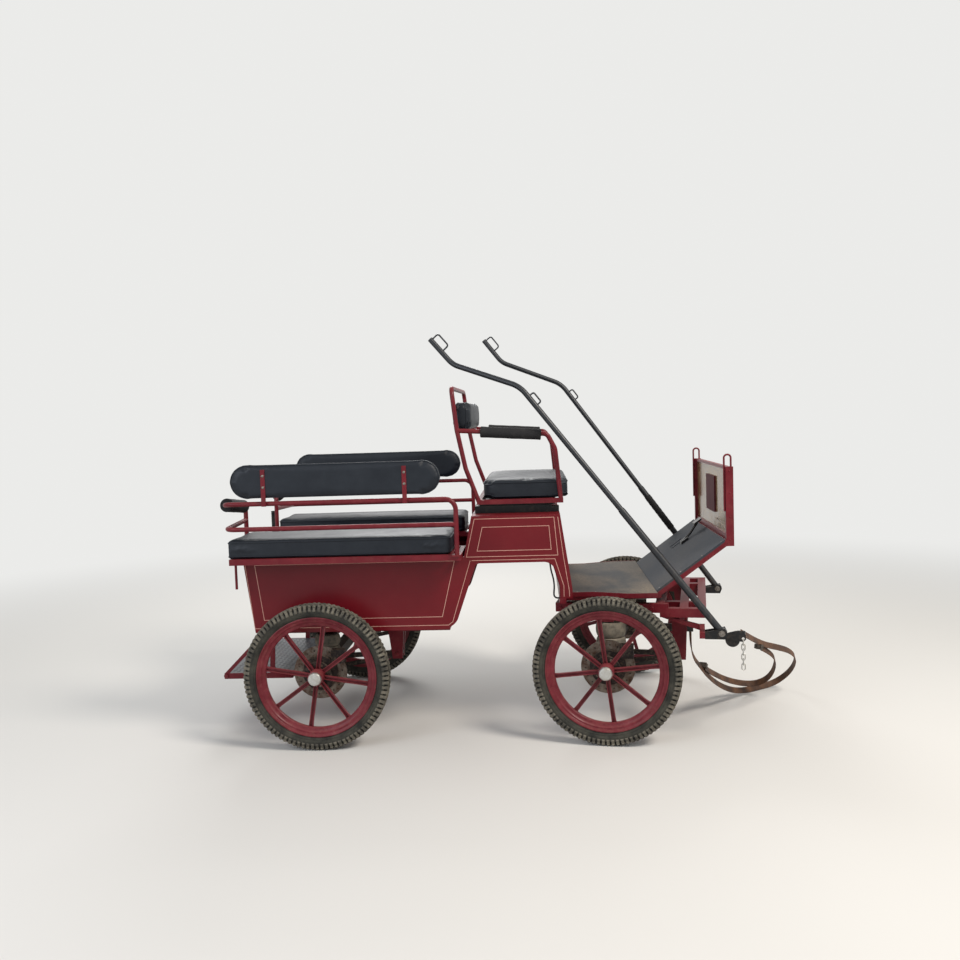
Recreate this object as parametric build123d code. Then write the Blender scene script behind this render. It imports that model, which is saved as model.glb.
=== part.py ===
from build123d import *
from math import atan2, cos, pi, radians, sin, sqrt, tan
import os

# Horse-drawn four-wheeled carriage with two lengthways benches, a raised driver's seat and folding shafts.
# Millimetres. +X is forward, +Y is the carriage's left, +Z is up, and the ground is Z = 0.
# While it is built, X is measured from the rear axle; the last step moves the middle of its box to X = 0.

# Running gear
wheel_radius = 340.0
tyre_width = 76.0
tyre_bead_radius = 268.0
rim_flange_radius = 280.0
rim_inner_radius = 238.0
rim_width = 54.0
spoke_count = 8
spoke_width = 20.0
spoke_depth = 13.0
spoke_groove = 10.0
spoke_groove_depth = 6.0
hub_radius = 36.0
stub_radius = 15.0
hub_outer_length = 50.0
hub_cap_length = 14.0
ring_sides = 56
bead_gap = 0.3
track = 1240.0
wheelbase = 1435.0
disc_radius = 125.0
disc_thickness = 6.0
disc_inset = 75.0
beam_size = 50.0
beam_end_gap = 27.0
beam_half = track / 2 - disc_inset - beam_end_gap
stub_overlap = 4.0
stub_end_gap = 6.0

# Steering: the front bogie stands turned to the carriage's right, as it is parked
parked_steer = 9.7
steer_lock = 14.0
ring_radius = 260.0
ring_width = 50.0
ring_height = 10.0
ring_gap = 0.5
kingpin_radius = 18.0
pin_clearance = 0.08

# Passenger tub and the side panels that run on over the driver's box down to the front platform
side_half = 500.0
side_wall = 15.0
panel_wall = 12.0
tub_rear_top_x = -360.0
tub_rear_bottom_x = -315.0
tub_bottom_z = 520.0
tub_top_z = 862.0
tub_floor_thickness = 18.0
tub_bottom_front_x = 600.0
leg_bottom_x = 646.0
leg_bottom_z = 555.0
leg_top_x = 744.0
arch_front_x = 1100.0
riser_bend_z = 715.0
riser_foot_z = 700.0
tub_corner_radius = 30.0
leg_corner_radius = 60.0
arch_rear_radius = 25.0
arch_front_radius = 55.0
door_half = 246.0
door_gap = 6.0
door_sill_z = 560.0
door_swing = 100.0

# Benches, rails and backrests
bench_rear_x = -390.0
bench_front_x = 682.0
bench_outer = 615.0
bench_inner = 272.0
bench_tube = 22.0
bench_board = 6.0
cushion_rear_x = -402.0
cushion_front_x = 645.0
cushion_height = 86.0
rail_radius = 11.0
rail_half = 628.0
rail_front_x = 668.0
rail_rear_x = -402.0
top_rail_z = 1146.0
mid_rail_z = 1030.0
arm_post_half = 282.0
arm_post_x = -402.0
arm_post_top_z = 1106.0
arm_pad_radius = 32.0
backrest_rear_x = -365.0
backrest_front_x = 604.0
backrest_z = 1248.0
backrest_height = 160.0
backrest_thickness = 54.0
backrest_outer = 645.0
bracket_positions = (-205.0, 441.0)

# Driver's box and seat
box_rear_bottom_x = 689.0
box_rear_top_x = 728.0
box_top_z = 1051.0
box_bottom_z = 829.0
box_front_top_x = 1141.0
riser_front_x = 1190.0
riser_back_x = 1133.0
seat_base_half = 375.0
seat_half = 415.0
seat_rear_x = 777.0
seat_front_x = 1160.0
seat_frame_z = 1097.0
seat_frame_size = 22.0
seat_cushion_height = 86.0
armrest_z = 1452.0
armrest_drop = 30.0
armrest_front_x = 1092.0
seat_back_x = 668.0
seat_top_x = 647.0
seat_top_z = 1650.0
back_strap_x = 652.0
back_strap_thickness = 6.0
back_pad_thickness = 64.0
soft_gap = 0.3
armrest_pad_radius = 22.5

# Front platform, toe-board and dash
platform_top_z = 670.0
platform_thickness = 15.0
platform_frame_height = 23.0
platform_rear_half = 430.0
platform_half = 495.0
platform_bend_x = 1583.0
toe_half = 436.0
toe_top_x = 1905.0
toe_top_z = 905.0
toe_thickness = 12.0
toe_rail = 20.0
dash_x = 1912.0
dash_depth = 36.0
dash_bottom_z = 873.0
dash_top_z = 1244.0
dash_post = 20.0
window_thickness = 6.0

# Bogie and shafts, measured from the steering axis before the bogie is turned
bogie_top_z = 612.0
bogie_rail_height = 42.0
bogie_rail_half = 430.0
bogie_rail_width = 40.0
bogie_rear_x = -255.0
bogie_front_x = 447.0
bogie_drop = 20.0
bogie_inner_half = 270.0
bogie_lap_x = 215.0
front_pivot_x = 325.0
front_pivot_z = 350.0
shaft_pivot_x = 513.0
shaft_pivot_z = 512.0
shaft_pivot_half = 555.0
shaft_sleeve_radius = 16.0
shaft_radius = 13.0
shaft_eye_radius = 23.0
shaft_eye_width = 30.0
shaft_pin_radius = 8.0
fork_gap = 17.5
fork_cheek = 9.0
fork_nose = 24.0
shaft_sleeve_length = 700.0
wrap_start = 418.0
wrap_end = 652.0
wrap_radius = 19.0
left_shaft_forward = 2.4
shaft_swing = 140.0

parts = {}


def keep(name, *solids):
    """Store one node: the solids are cut free of wrappers, and may be several."""
    flat = [solid for shape in solids for solid in shape.solids()]
    parts[name] = flat


def block(x0, x1, y0, y1, z0, z1):
    return Pos((x0 + x1) / 2, (y0 + y1) / 2, (z0 + z1) / 2) * Box(abs(x1 - x0), abs(y1 - y0), abs(z1 - z0))


def plate(points, y0, y1):
    """Plate in a vertical lengthways plane: points are (x, z), between y0 and y1."""
    face = make_face(Polyline(*[(x, y0, z) for x, z in points], close=True))
    return extrude(face, amount=abs(y1 - y0), dir=(0, 1 if y1 > y0 else -1, 0))


def slab(points, z0, z1):
    """Level plate: points are (x, y), between z0 and z1."""
    face = make_face(Polyline(*[(x, y, z0) for x, y in points], close=True))
    return extrude(face, amount=z1 - z0, dir=(0, 0, 1))


def rod(start, end, radius):
    axis = Vector(*end) - Vector(*start)
    return extrude(Plane(origin=start, z_dir=axis) * Circle(radius), amount=axis.length)


def sleeve(start, end, radius, bore):
    axis = Vector(*end) - Vector(*start)
    return extrude(Plane(origin=start, z_dir=axis) * (Circle(radius) - Circle(bore)), amount=axis.length)


def tube(points, bends, radius):
    """Round tube along straight runs, with one bend radius for each corner between them."""
    path = FilletPolyline(*points, radius=bends)
    return sweep(Plane(origin=path @ 0, z_dir=path % 0) * Circle(radius), path=path)


def cross_pin(x, z, y0, y1, radius, bore=0.0):
    """Cylinder across the carriage, hollow where a bore is given."""
    ring = Circle(radius) - Circle(bore) if bore else Circle(radius)
    return extrude(Plane(origin=(x, y0, z), z_dir=(0, 1, 0)) * ring, amount=y1 - y0)


def mirrored(shape):
    return mirror(shape, about=Plane.XZ)


def both(shape):
    return [shape, mirrored(shape)]


def joined(*shapes):
    whole = shapes[0]
    for shape in shapes[1:]:
        whole = whole + shape
    return whole


# Side panels: one plate each side gives the tub, the driver's box and the riser their shared outline
def side_panel():
    outline = [
        (tub_rear_bottom_x, tub_bottom_z),
        (tub_bottom_front_x, tub_bottom_z),
        (leg_bottom_x, leg_bottom_z),
        (leg_top_x, box_bottom_z),
        (arch_front_x, box_bottom_z),
        (riser_back_x, riser_bend_z),
        (riser_back_x, platform_top_z - platform_thickness),
        (riser_front_x, platform_top_z - platform_thickness),
        (riser_front_x, riser_foot_z),
        (box_front_top_x, box_top_z),
        (box_rear_top_x, box_top_z),
        (box_rear_bottom_x, tub_top_z),
        (tub_rear_top_x, tub_top_z),
    ]
    panel = plate(outline, -side_half, -side_half + side_wall)
    # columns: x and z of the corner, and its radius
    corners = [(tub_bottom_front_x, tub_bottom_z, tub_corner_radius),
               (leg_bottom_x, leg_bottom_z, leg_corner_radius),
               (leg_top_x, box_bottom_z, arch_rear_radius),
               (arch_front_x, box_bottom_z, arch_front_radius)]
    for x, z, bend in corners:
        edge = panel.edges().filter_by(Axis.Y).sort_by_distance((x, -side_half + side_wall / 2, z))[0]
        panel = fillet(edge, bend)
    return panel


keep("side_right", side_panel())
keep("side_left", mirrored(side_panel()))

inner_half = side_half - side_wall
rear_slope = (tub_rear_top_x - tub_rear_bottom_x) / (tub_top_z - tub_bottom_z)


def rear_x(z):
    """X of the tub's sloping rear face at a height."""
    return tub_rear_bottom_x + rear_slope * (z - tub_bottom_z)


floor_top_z = tub_bottom_z + tub_floor_thickness
keep("tub_floor", plate([(rear_x(tub_bottom_z), tub_bottom_z), (tub_bottom_front_x - 2, tub_bottom_z),
                         (tub_bottom_front_x + 16, floor_top_z),
                         (rear_x(floor_top_z), floor_top_z)], -inner_half, inner_half))

# Sloping front wall of the tub, and the driver's box: rear wall, floor, top board and riser in one welded shell
leg_slope = (leg_top_x - leg_bottom_x) / (box_bottom_z - leg_bottom_z)


def leg_x(z):
    """X of the side panels' leg at a height, on the side towards the front."""
    return leg_bottom_x + leg_slope * (z - leg_bottom_z)


wall_foot_x = leg_x(floor_top_z) - 14
wall_top_x = leg_x(box_bottom_z) - 6
keep("tub_front", plate([(wall_foot_x - panel_wall, floor_top_z), (wall_foot_x, floor_top_z),
                         (wall_top_x, box_bottom_z), (wall_top_x - panel_wall, box_bottom_z)],
                        -inner_half, inner_half))

box_outside = plate([
    (leg_x(box_bottom_z) - 40, box_bottom_z), (arch_front_x - 4, box_bottom_z), (riser_back_x - 4, riser_bend_z),
    (riser_back_x - 4, platform_top_z - platform_thickness), (riser_front_x, platform_top_z - platform_thickness),
    (riser_front_x, riser_foot_z), (box_front_top_x, box_top_z), (box_rear_top_x, box_top_z),
    (box_rear_bottom_x, tub_top_z)], -inner_half, inner_half)
box_inside = plate([
    (leg_x(box_bottom_z) - 20, box_bottom_z + panel_wall), (arch_front_x + 4, box_bottom_z + panel_wall),
    (riser_back_x + 8, riser_bend_z + 9), (riser_back_x + 8, platform_top_z),
    (riser_front_x - panel_wall, platform_top_z), (riser_front_x - panel_wall, riser_foot_z),
    (box_front_top_x - panel_wall, box_top_z - panel_wall),
    (box_rear_top_x + panel_wall, box_top_z - panel_wall), (box_rear_bottom_x + panel_wall, tub_top_z)],
    -inner_half + panel_wall, inner_half - panel_wall)
keep("driver_box", box_outside - box_inside)

# Rear wall with the doorway, and the door that hangs in it on a slanted pin
hinge_half = door_half + door_gap
hinge_out = 9.0
hinge_pin_radius = 4.0
knuckle_radius = 8.0


def rear_wall(y0, y1, z0, z1, out=0.0, thickness=panel_wall):
    """Panel that lies in the slope of the tub's rear face."""
    return plate([(rear_x(z0) - out, z0), (rear_x(z0) - out + thickness, z0),
                  (rear_x(z1) - out + thickness, z1), (rear_x(z1) - out, z1)], y0, y1)


def hinge_point(z, out=hinge_out):
    return (rear_x(z) - out, -hinge_half, z)


doorway = joined(rear_wall(-inner_half, -door_half - door_gap, floor_top_z, tub_top_z),
                 rear_wall(door_half + door_gap, inner_half, floor_top_z, tub_top_z),
                 rear_wall(-inner_half, inner_half, floor_top_z, door_sill_z),
                 rod(hinge_point(610.0), hinge_point(820.0), hinge_pin_radius),
                 sleeve(hinge_point(610.0), hinge_point(640.0), knuckle_radius, hinge_pin_radius),
                 sleeve(hinge_point(790.0), hinge_point(820.0), knuckle_radius, hinge_pin_radius),
                 rear_wall(-hinge_half - 40, -hinge_half, 612.0, 638.0, out=6.0, thickness=6.0),
                 rear_wall(-hinge_half - 40, -hinge_half, 792.0, 818.0, out=6.0, thickness=6.0))
keep("tub_rear", doorway)

door = joined(rear_wall(-door_half, door_half, door_sill_z + door_gap, tub_top_z - 4),
              sleeve(hinge_point(646.0), hinge_point(784.0), knuckle_radius, hinge_pin_radius + pin_clearance),
              rear_wall(-door_half - 1, -door_half + 45, 660.0, 770.0, out=6.0, thickness=6.0),
              rear_wall(door_half - 60, door_half - 20, 790.0, 812.0, out=14.0, thickness=14.0))
keep("rear_door", door - rod(hinge_point(600.0), hinge_point(830.0), hinge_pin_radius + pin_clearance))

# Chassis under the tub: two rails, cross members, and the brackets that carry the trailing arms
rail_half_width = 20.0
chassis_half = 350.0
chassis_height = 32.0
arm_half = 300.0
arm_pivot_x = 335.0
arm_pivot_z = 368.0
arm_bush_radius = 24.0
arm_bush_width = 50.0
chassis_z = tub_bottom_z - chassis_height


def pivot_cheeks(x, z, top_z, half=arm_half):
    """Pair of hanging cheeks with their pin, each side of a trailing arm's bush."""
    cheeks = []
    for side in (-1, 1):
        y = half + side * (arm_bush_width / 2 + 5)
        outline = [(x - 24, z - 24), (x + 24, z - 24), (x + 34, top_z), (x - 44, top_z)]
        cheeks.append(plate(outline, y - 4, y + 4))
    cheeks.append(cross_pin(x, z, half - arm_bush_width / 2 - 5, half + arm_bush_width / 2 + 5, 10.0))
    return joined(*cheeks)


chassis = [block(-320, 600, sign * (chassis_half - rail_half_width), sign * (chassis_half + rail_half_width),
                 chassis_z, tub_bottom_z) for sign in (-1, 1)]
for x in (-320, -10, 315, 560):
    chassis.append(block(x, x + 40, -chassis_half, chassis_half, chassis_z, tub_bottom_z))
chassis += both(pivot_cheeks(arm_pivot_x, arm_pivot_z, chassis_z + 4))
keep("chassis", joined(*chassis))

# Bench frames with their boards
bench_frame_z = tub_top_z
bench_top_z = bench_frame_z + bench_tube + bench_board


def bench_frame():
    t = bench_tube
    z0, z1 = bench_frame_z, bench_frame_z + bench_tube
    members = [block(bench_rear_x, bench_front_x, bench_outer - t, bench_outer, z0, z1),
               block(bench_rear_x, bench_front_x, bench_inner, bench_inner + t, z0, z1)]
    for x in (bench_rear_x, -30.0, 320.0, bench_front_x - t):
        members.append(block(x, x + t, bench_inner, bench_outer, z0, z1))
    members.append(block(bench_rear_x, cushion_front_x, bench_inner, bench_outer, z1, z1 + bench_board))
    members.append(rod((bench_rear_x + 12, bench_outer - 60, 742), (bench_rear_x + 12, bench_outer - 60, z0), 6.0))
    return joined(*members)


keep("bench_frames", *both(bench_frame()))

cushion_bottom_z = bench_top_z + soft_gap


def soft_block(x0, x1, y0, y1, z0, z1, rounding):
    body = block(x0, x1, y0, y1, z0, z1)
    return fillet(body.edges(), rounding)


bench_cushion = soft_block(cushion_rear_x, cushion_front_x, bench_inner - 4, bench_outer - 3,
                           cushion_bottom_z, cushion_bottom_z + cushion_height, 20.0)
post_clear = block(arm_post_x - 60, arm_post_x + rail_radius + 8,
                   bench_inner - 30, arm_post_half + rail_radius + 8,
                   cushion_bottom_z - 5, cushion_bottom_z + cushion_height + 5)
bench_cushion = bench_cushion - post_clear
keep("bench_cushion_left", bench_cushion)
keep("bench_cushion_right", mirrored(bench_cushion))


# Guard rails round each bench: one bent tube from the doorway's post, round the outside, down to the front foot
def guard_rail():
    post_foot = bench_frame_z + 2
    top = tube([(arm_post_x, arm_post_half, post_foot), (arm_post_x, arm_post_half, arm_post_top_z),
                (rail_rear_x, rail_half, top_rail_z), (rail_front_x, rail_half, top_rail_z),
                (rail_front_x, rail_half, bench_top_z)], (28.0, 45.0, 50.0), rail_radius)
    middle = tube([(arm_post_x, arm_post_half, mid_rail_z + 10), (rail_rear_x + 8, rail_half, mid_rail_z),
                   (rail_front_x, rail_half, mid_rail_z)], (45.0,), rail_radius)
    foot = block(rail_front_x - 22, rail_front_x + 14, bench_outer - 30, rail_half + 16,
                 bench_frame_z + bench_tube, bench_top_z + 1)
    lug = block(arm_post_x, bench_rear_x, arm_post_half - 9, arm_post_half + 9,
                bench_frame_z + 2, bench_frame_z + 20)
    pieces = [top, middle, foot, lug]
    for x in bracket_positions:
        pieces.append(block(x - 10, x + 10, backrest_outer + soft_gap, backrest_outer + soft_gap + 6,
                            top_rail_z - rail_radius, backrest_z + 55))
        pieces.append(block(x - 10, x + 10, rail_half, backrest_outer + 3, top_rail_z - rail_radius + 3,
                            top_rail_z + rail_radius - 4))
    return joined(*pieces)


rail = guard_rail()
keep("rail_left", rail)
keep("rail_right", mirrored(rail))

# Foam sleeves on the rear arms
arm_direction = (top_rail_z - arm_post_top_z) / (rail_half - arm_post_half)


def on_arm(y):
    share = (y - arm_post_half) / (rail_half - arm_post_half)
    return (arm_post_x + share * (rail_rear_x - arm_post_x), y,
            arm_post_top_z + share * (top_rail_z - arm_post_top_z))


keep("rear_arm_pads", *both(sleeve(on_arm(318.0), on_arm(572.0), arm_pad_radius, rail_radius + 0.3)))

backrest = extrude(Plane(origin=((backrest_rear_x + backrest_front_x) / 2, backrest_outer, backrest_z),
                         x_dir=(1, 0, 0), z_dir=(0, -1, 0))
                   * SlotOverall(backrest_front_x - backrest_rear_x, backrest_height), amount=backrest_thickness)
keep("backrest_left", backrest)
keep("backrest_right", mirrored(backrest))

# Driver's seat: black base, red frame bent from tube, cushion, back pad and armrest sleeves
keep("seat_base", joined(block(739, 1106, -seat_base_half, seat_base_half, box_top_z, seat_frame_z - 12),
                         block(760, 1120, -seat_base_half + 20, seat_base_half - 20,
                               seat_frame_z - 12, seat_frame_z),
                         block(1106, 1140, -seat_base_half, -seat_base_half + 60, box_top_z, box_top_z + 26)))


def seat_side():
    f = seat_frame_size
    y = seat_half
    z_top = seat_frame_z + f
    upright = tube([(seat_rear_x - 12, y, seat_frame_z + 4), (704, y, 1270), (seat_back_x, y, armrest_z),
                    (seat_top_x, y - 6, seat_top_z), (seat_top_x, 0, seat_top_z)],
                   (60.0, 120.0, 40.0), rail_radius)
    front_z = armrest_z - armrest_drop
    armrest = tube([(seat_back_x, y, armrest_z - 3), (armrest_front_x, y, front_z), (1128, y, front_z - 70),
                    (seat_front_x - rail_radius, y, z_top - 4)], (30.0, 60.0), rail_radius)
    return joined(upright, armrest)


seat_frame = joined(seat_side(), mirrored(seat_side()),
                    block(seat_rear_x - 24, seat_front_x, seat_half - 11, seat_half + 11, seat_frame_z,
                          seat_frame_z + seat_frame_size),
                    block(seat_rear_x - 24, seat_front_x, -seat_half - 11, -seat_half + 11, seat_frame_z,
                          seat_frame_z + seat_frame_size),
                    block(seat_rear_x - 24, seat_rear_x - 2, -seat_half, seat_half, seat_frame_z,
                          seat_frame_z + seat_frame_size),
                    block(seat_front_x - 60, seat_front_x - 38, -seat_half, seat_half, seat_frame_z,
                          seat_frame_z + seat_frame_size),
                    block(back_strap_x, back_strap_x + back_strap_thickness, -seat_half + 4, seat_half - 4,
                          1480, 1504),
                    block(back_strap_x - 2, back_strap_x + back_strap_thickness - 2, -seat_half + 4, seat_half - 4,
                          1545, 1569))
keep("seat_frame", seat_frame)
seat_cushion_z = seat_frame_z + seat_frame_size + soft_gap
keep("seat_cushion", soft_block(seat_rear_x, 1190, -seat_half + 14, seat_half - 14, seat_cushion_z,
                                seat_cushion_z + seat_cushion_height, 24.0))
back_pad_x = back_strap_x + back_strap_thickness + soft_gap
back_pad_inset = 39.0
back_pad_low_z, back_pad_top_z = 1448, 1585
keep("seat_back", soft_block(back_pad_x, back_pad_x + back_pad_thickness - soft_gap, -seat_half + back_pad_inset,
                             seat_half - back_pad_inset, back_pad_low_z, back_pad_top_z, 22.0))


def on_armrest(x):
    share = (x - seat_back_x) / (armrest_front_x - seat_back_x)
    return (x, seat_half, armrest_z - 3 + share * (3 - armrest_drop))


armrest_pad = sleeve(on_armrest(779.0), on_armrest(1064.0), armrest_pad_radius, rail_radius + 0.3)
keep("armrest_pads", *both(armrest_pad))

# Front platform: floor plate, welded frame with the toe-board's rails and the dash, and the toe-board
platform_outline = [(riser_front_x, -platform_rear_half), (1290.0, -platform_rear_half),
                    (1450.0, -platform_half), (platform_bend_x, -platform_half)]
plan = platform_outline + [(x, -y) for x, y in reversed(platform_outline)]
floor_z = platform_top_z - platform_thickness
keep("platform_floor", slab(plan, floor_z, platform_top_z))

toe_slope = (toe_top_z - platform_top_z) / (toe_top_x - platform_bend_x)


def toe_z(x):
    """Height of the toe-board's upper face."""
    return platform_top_z + toe_slope * (x - platform_bend_x)


def toe_strip(x0, x1, depth0, depth1, y0, y1):
    """Piece that lies along the slope of the toe-board, between two depths below its upper face."""
    return plate([(x0, toe_z(x0) - depth0), (x1, toe_z(x1) - depth0), (x1, toe_z(x1) - depth1),
                  (x0, toe_z(x0) - depth1)], y0, y1)


toe_board = toe_strip(platform_bend_x + 1, toe_top_x, 0.0, toe_thickness, -toe_half, toe_half)
for slot_y in (150.0, 205.0):
    toe_board = toe_board - toe_strip(1742.0, 1800.0, -5.0, toe_thickness + 5, slot_y - 8, slot_y + 8)
keep("toe_board", toe_board)

frame_z = floor_z - platform_frame_height
front_frame = [block(riser_back_x - 4, platform_bend_x, sign * 395, sign * 425, frame_z, floor_z)
               for sign in (-1, 1)]
front_frame += [block(x, x + 40, -425, 425, frame_z, floor_z) for x in (riser_back_x - 4, 1290.0, 1543.0)]
front_frame += [block(riser_back_x - 4, 1160.0, -side_half, side_half, frame_z, floor_z)]
front_frame += [block(1415.0, 1455.0, -425, 425, frame_z, floor_z)]
front_frame += [toe_strip(platform_bend_x, toe_top_x + 8, toe_thickness, toe_thickness + 26,
                          sign * (toe_half - toe_rail), sign * toe_half) for sign in (-1, 1)]
front_frame += [block(1560.0, platform_bend_x + 24, -toe_half, toe_half, frame_z + 4, floor_z)]
for sign in (-1, 1):
    front_frame.append(block(dash_x, dash_x + dash_depth, sign * (toe_half - dash_post), sign * toe_half,
                             dash_bottom_z, dash_top_z))
front_frame.append(block(dash_x + 8, dash_x + 28, -toe_half, toe_half, 886, 926))
front_frame.append(block(dash_x + 8, dash_x + 28, -toe_half, toe_half, dash_top_z - 14, dash_top_z))
front_frame.append(block(toe_top_x, dash_x + 4, -toe_half, toe_half, 872, 902))
front_frame.append(Pos(wheelbase, 0, (frame_z + bogie_top_z) / 2 - 8)
                   * Cylinder(kingpin_radius, frame_z - bogie_top_z + 40))
ring_inner = ring_radius - ring_width
upper_ring = Pos(wheelbase, 0, frame_z - ring_height / 2) * (Cylinder(ring_radius, ring_height)
                                                           - Cylinder(ring_inner, ring_height))
front_frame.append(upper_ring)
keep("front_frame", joined(*front_frame))

window_x = dash_x + 15
window_half = toe_half - dash_post
keep("dash_window", block(window_x, window_x + window_thickness, -window_half, window_half,
                          926, dash_top_z - 14))
keep("dash_plate", block(window_x - 8, window_x, -112, 112, 1000, 1180))


def rein_hoop():
    y = toe_half - dash_post / 2
    return tube([(dash_x - 4.6, y, 1036), (dash_x - 4.6, y, 1300), (dash_x + 27, y, 1300),
                 (dash_x + 27, y, dash_top_z)], (15.0, 15.0), 4.5)


keep("rein_hoops", *both(rein_hoop()))

# Brake pedal on the toe-board
pedal_y = 95.0
pedal_x = toe_top_x - 107.0
pedal_reach = 68.0
pedal = joined(toe_strip(pedal_x - 18, pedal_x + 18, -14.0, 0.0, pedal_y - 22, pedal_y + 22),
               tube([(pedal_x, pedal_y, toe_z(pedal_x) + 8),
                     (pedal_x + pedal_reach / 2, pedal_y, toe_z(pedal_x + pedal_reach / 2) + 22),
                     (pedal_x + pedal_reach, pedal_y, toe_z(pedal_x + pedal_reach) + 48)], (24.0,), 6.0),
               toe_strip(pedal_x + pedal_reach - 20, pedal_x + pedal_reach + 18, -62.0, -52.0, pedal_y - 30,
                         pedal_y + 30))
keep("brake_pedal", pedal)

# Rear step: its hangers stand flush with the outer faces of the chassis rails, which sets the tread's width
step_half = chassis_half + rail_half_width
step_z = 292.0
step_rear_x, step_front_x = -520.0, -180.0
step_lip = 5.0
step = [block(step_rear_x, step_front_x, -step_half, step_half, step_z - 4, step_z),
        block(step_rear_x, step_rear_x + step_lip, -step_half, step_half, step_z - 26, step_z),
        block(step_front_x - step_lip, step_front_x, -step_half, step_half, step_z - 26, step_z)]
for sign in (-1, 1):
    y0, y1 = sign * step_half, sign * (step_half - 6)
    step.append(block(step_rear_x, step_front_x, y0, y1, step_z - 26, step_z + 2))
    step.append(plate([(step_rear_x, step_z), (step_rear_x + 24, step_z), (-300, chassis_z), (-324, chassis_z)],
                      y0, y1))
    step.append(plate([(-292, step_z), (-268, step_z), (-258, chassis_z), (-282, chassis_z)], y0, y1))
keep("rear_step", joined(*step))

# Handle with a rubber grip at the doorway
grip_x, grip_half = -436.0, 345.0
keep("door_grip", joined(rod((grip_x, grip_half, 880), (grip_x, grip_half, 1022), 13.0),
                         block(grip_x - 6, bench_rear_x, grip_half - 8, grip_half + 8, 866, 884)))


# Axles, brakes, air bellows and trailing arms are the same front and rear, built about the axle's centre
def axle(centre_z=wheel_radius):
    stub_end = track / 2 + hub_outer_length - stub_end_gap
    pieces = [block(-beam_size / 2, beam_size / 2, -beam_half, beam_half, centre_z - beam_size / 2,
                    centre_z + beam_size / 2)]
    for sign in (-1, 1):
        pieces.append(cross_pin(0, centre_z, min(sign * (beam_half - stub_overlap), sign * stub_end),
                                max(sign * (beam_half - stub_overlap), sign * stub_end), stub_radius))
        y0 = sign * (track / 2 - disc_inset - 20)
        y1 = sign * (track / 2 - disc_inset + 20)
        caliper = block(56, 118, y0, y1, centre_z + 44, centre_z + 108)
        slot0 = sign * (track / 2 - disc_inset - 8)
        slot1 = sign * (track / 2 - disc_inset + 8)
        slot = cross_pin(0, centre_z, min(slot0, slot1), max(slot0, slot1), disc_radius + 8.0)
        pieces.append(caliper - slot)
        pieces.append(plate([(10, centre_z - 20), (25, centre_z - 20), (80, centre_z + 60), (56, centre_z + 80)],
                            sign * (beam_half - 14), sign * (beam_half + 8)))
    return joined(*pieces)


def bellows(x, y, z0, z1, radius):
    """Double-convolution air spring with its two clamp plates."""
    waist = radius - 12
    z_mid = (z0 + z1) / 2
    profile = [(0, z0), (waist - 4, z0), (waist - 4, z0 + 6), (radius, z0 + 16), (radius, z_mid - 10), (waist, z_mid),
               (radius, z_mid + 10), (radius, z1 - 16), (waist - 4, z1 - 6), (waist - 4, z1), (0, z1)]
    face = make_face(Polyline(*[(r, 0, z) for r, z in profile], close=True))
    return Pos(x, y, 0) * revolve(face, Axis.Z)


def trailing_arm(pivot_x, pivot_z, axle_z=wheel_radius):
    """Two bars from the axle to one bush, on one side."""
    x0 = beam_size / 2
    upper = plate([(x0, axle_z + 2), (x0, axle_z + 24), (pivot_x, pivot_z + 10), (pivot_x, pivot_z - 12)],
                  arm_half - 8, arm_half + 8)
    lower = plate([(x0 - 20, axle_z - 44), (x0 - 20, axle_z - 25), (x0 + 20, axle_z - 25), (pivot_x, pivot_z - 4),
                   (pivot_x, pivot_z - 22), (x0 + 30, axle_z - 44)], arm_half - 8, arm_half + 8)
    bush = cross_pin(pivot_x, pivot_z, arm_half - arm_bush_width / 2, arm_half + arm_bush_width / 2,
                     arm_bush_radius)
    pin_hole = cross_pin(pivot_x, pivot_z, arm_half - arm_bush_width, arm_half + arm_bush_width,
                         10.0 + pin_clearance)
    return joined(upper, lower, bush) - pin_hole


keep("rear_axle", axle())
rear_bellows_half = 400.0
keep("rear_arms", *both(trailing_arm(arm_pivot_x, arm_pivot_z)))
keep("rear_bellows", *both(bellows(0, rear_bellows_half - 30, wheel_radius + beam_size / 2, chassis_z, 62.0)))

# Front bogie, built straight and then turned about the steering axis
bogie = {}
rail_z = bogie_top_z - bogie_rail_height
low_top_z = bogie_top_z - bogie_drop
low_z = rail_z - bogie_drop
rails = [block(bogie_rear_x, bogie_lap_x + 60, sign * (bogie_rail_half - bogie_rail_width), sign * bogie_rail_half,
               rail_z, bogie_top_z) for sign in (-1, 1)]
crosses = [block(x, x + 40, -bogie_rail_half, bogie_rail_half, rail_z, bogie_top_z)
           for x in (bogie_rear_x, bogie_lap_x)]
# The lower front half of the frame laps under the upper one: outer and inner rails, and two cross bars
for outer in (bogie_rail_half, bogie_inner_half):
    rails += [block(bogie_lap_x + 20, bogie_front_x, sign * (outer - bogie_rail_width), sign * outer,
                    low_z, low_top_z)
              for sign in (-1, 1)]
crosses += [block(x - 40, x, -bogie_rail_half, bogie_rail_half, low_z, low_top_z)
            for x in (bogie_front_x - 82, bogie_front_x)]
centre_cross = block(-34, 34, -bogie_rail_half, bogie_rail_half, bogie_top_z - 24, bogie_top_z - 1)
bolster = block(-60, 20, -bogie_rail_half, bogie_rail_half, 524, rail_z)
lower_height = ring_height - ring_gap
lower_ring = Pos(0, 0, bogie_top_z + lower_height / 2) * (Cylinder(ring_radius, lower_height)
                                                        - Cylinder(ring_inner, lower_height))
kingpin_hole = Cylinder(kingpin_radius + pin_clearance, 200)
boss = Pos(0, 0, bogie_top_z - 12) * Cylinder(36, 24)
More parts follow.
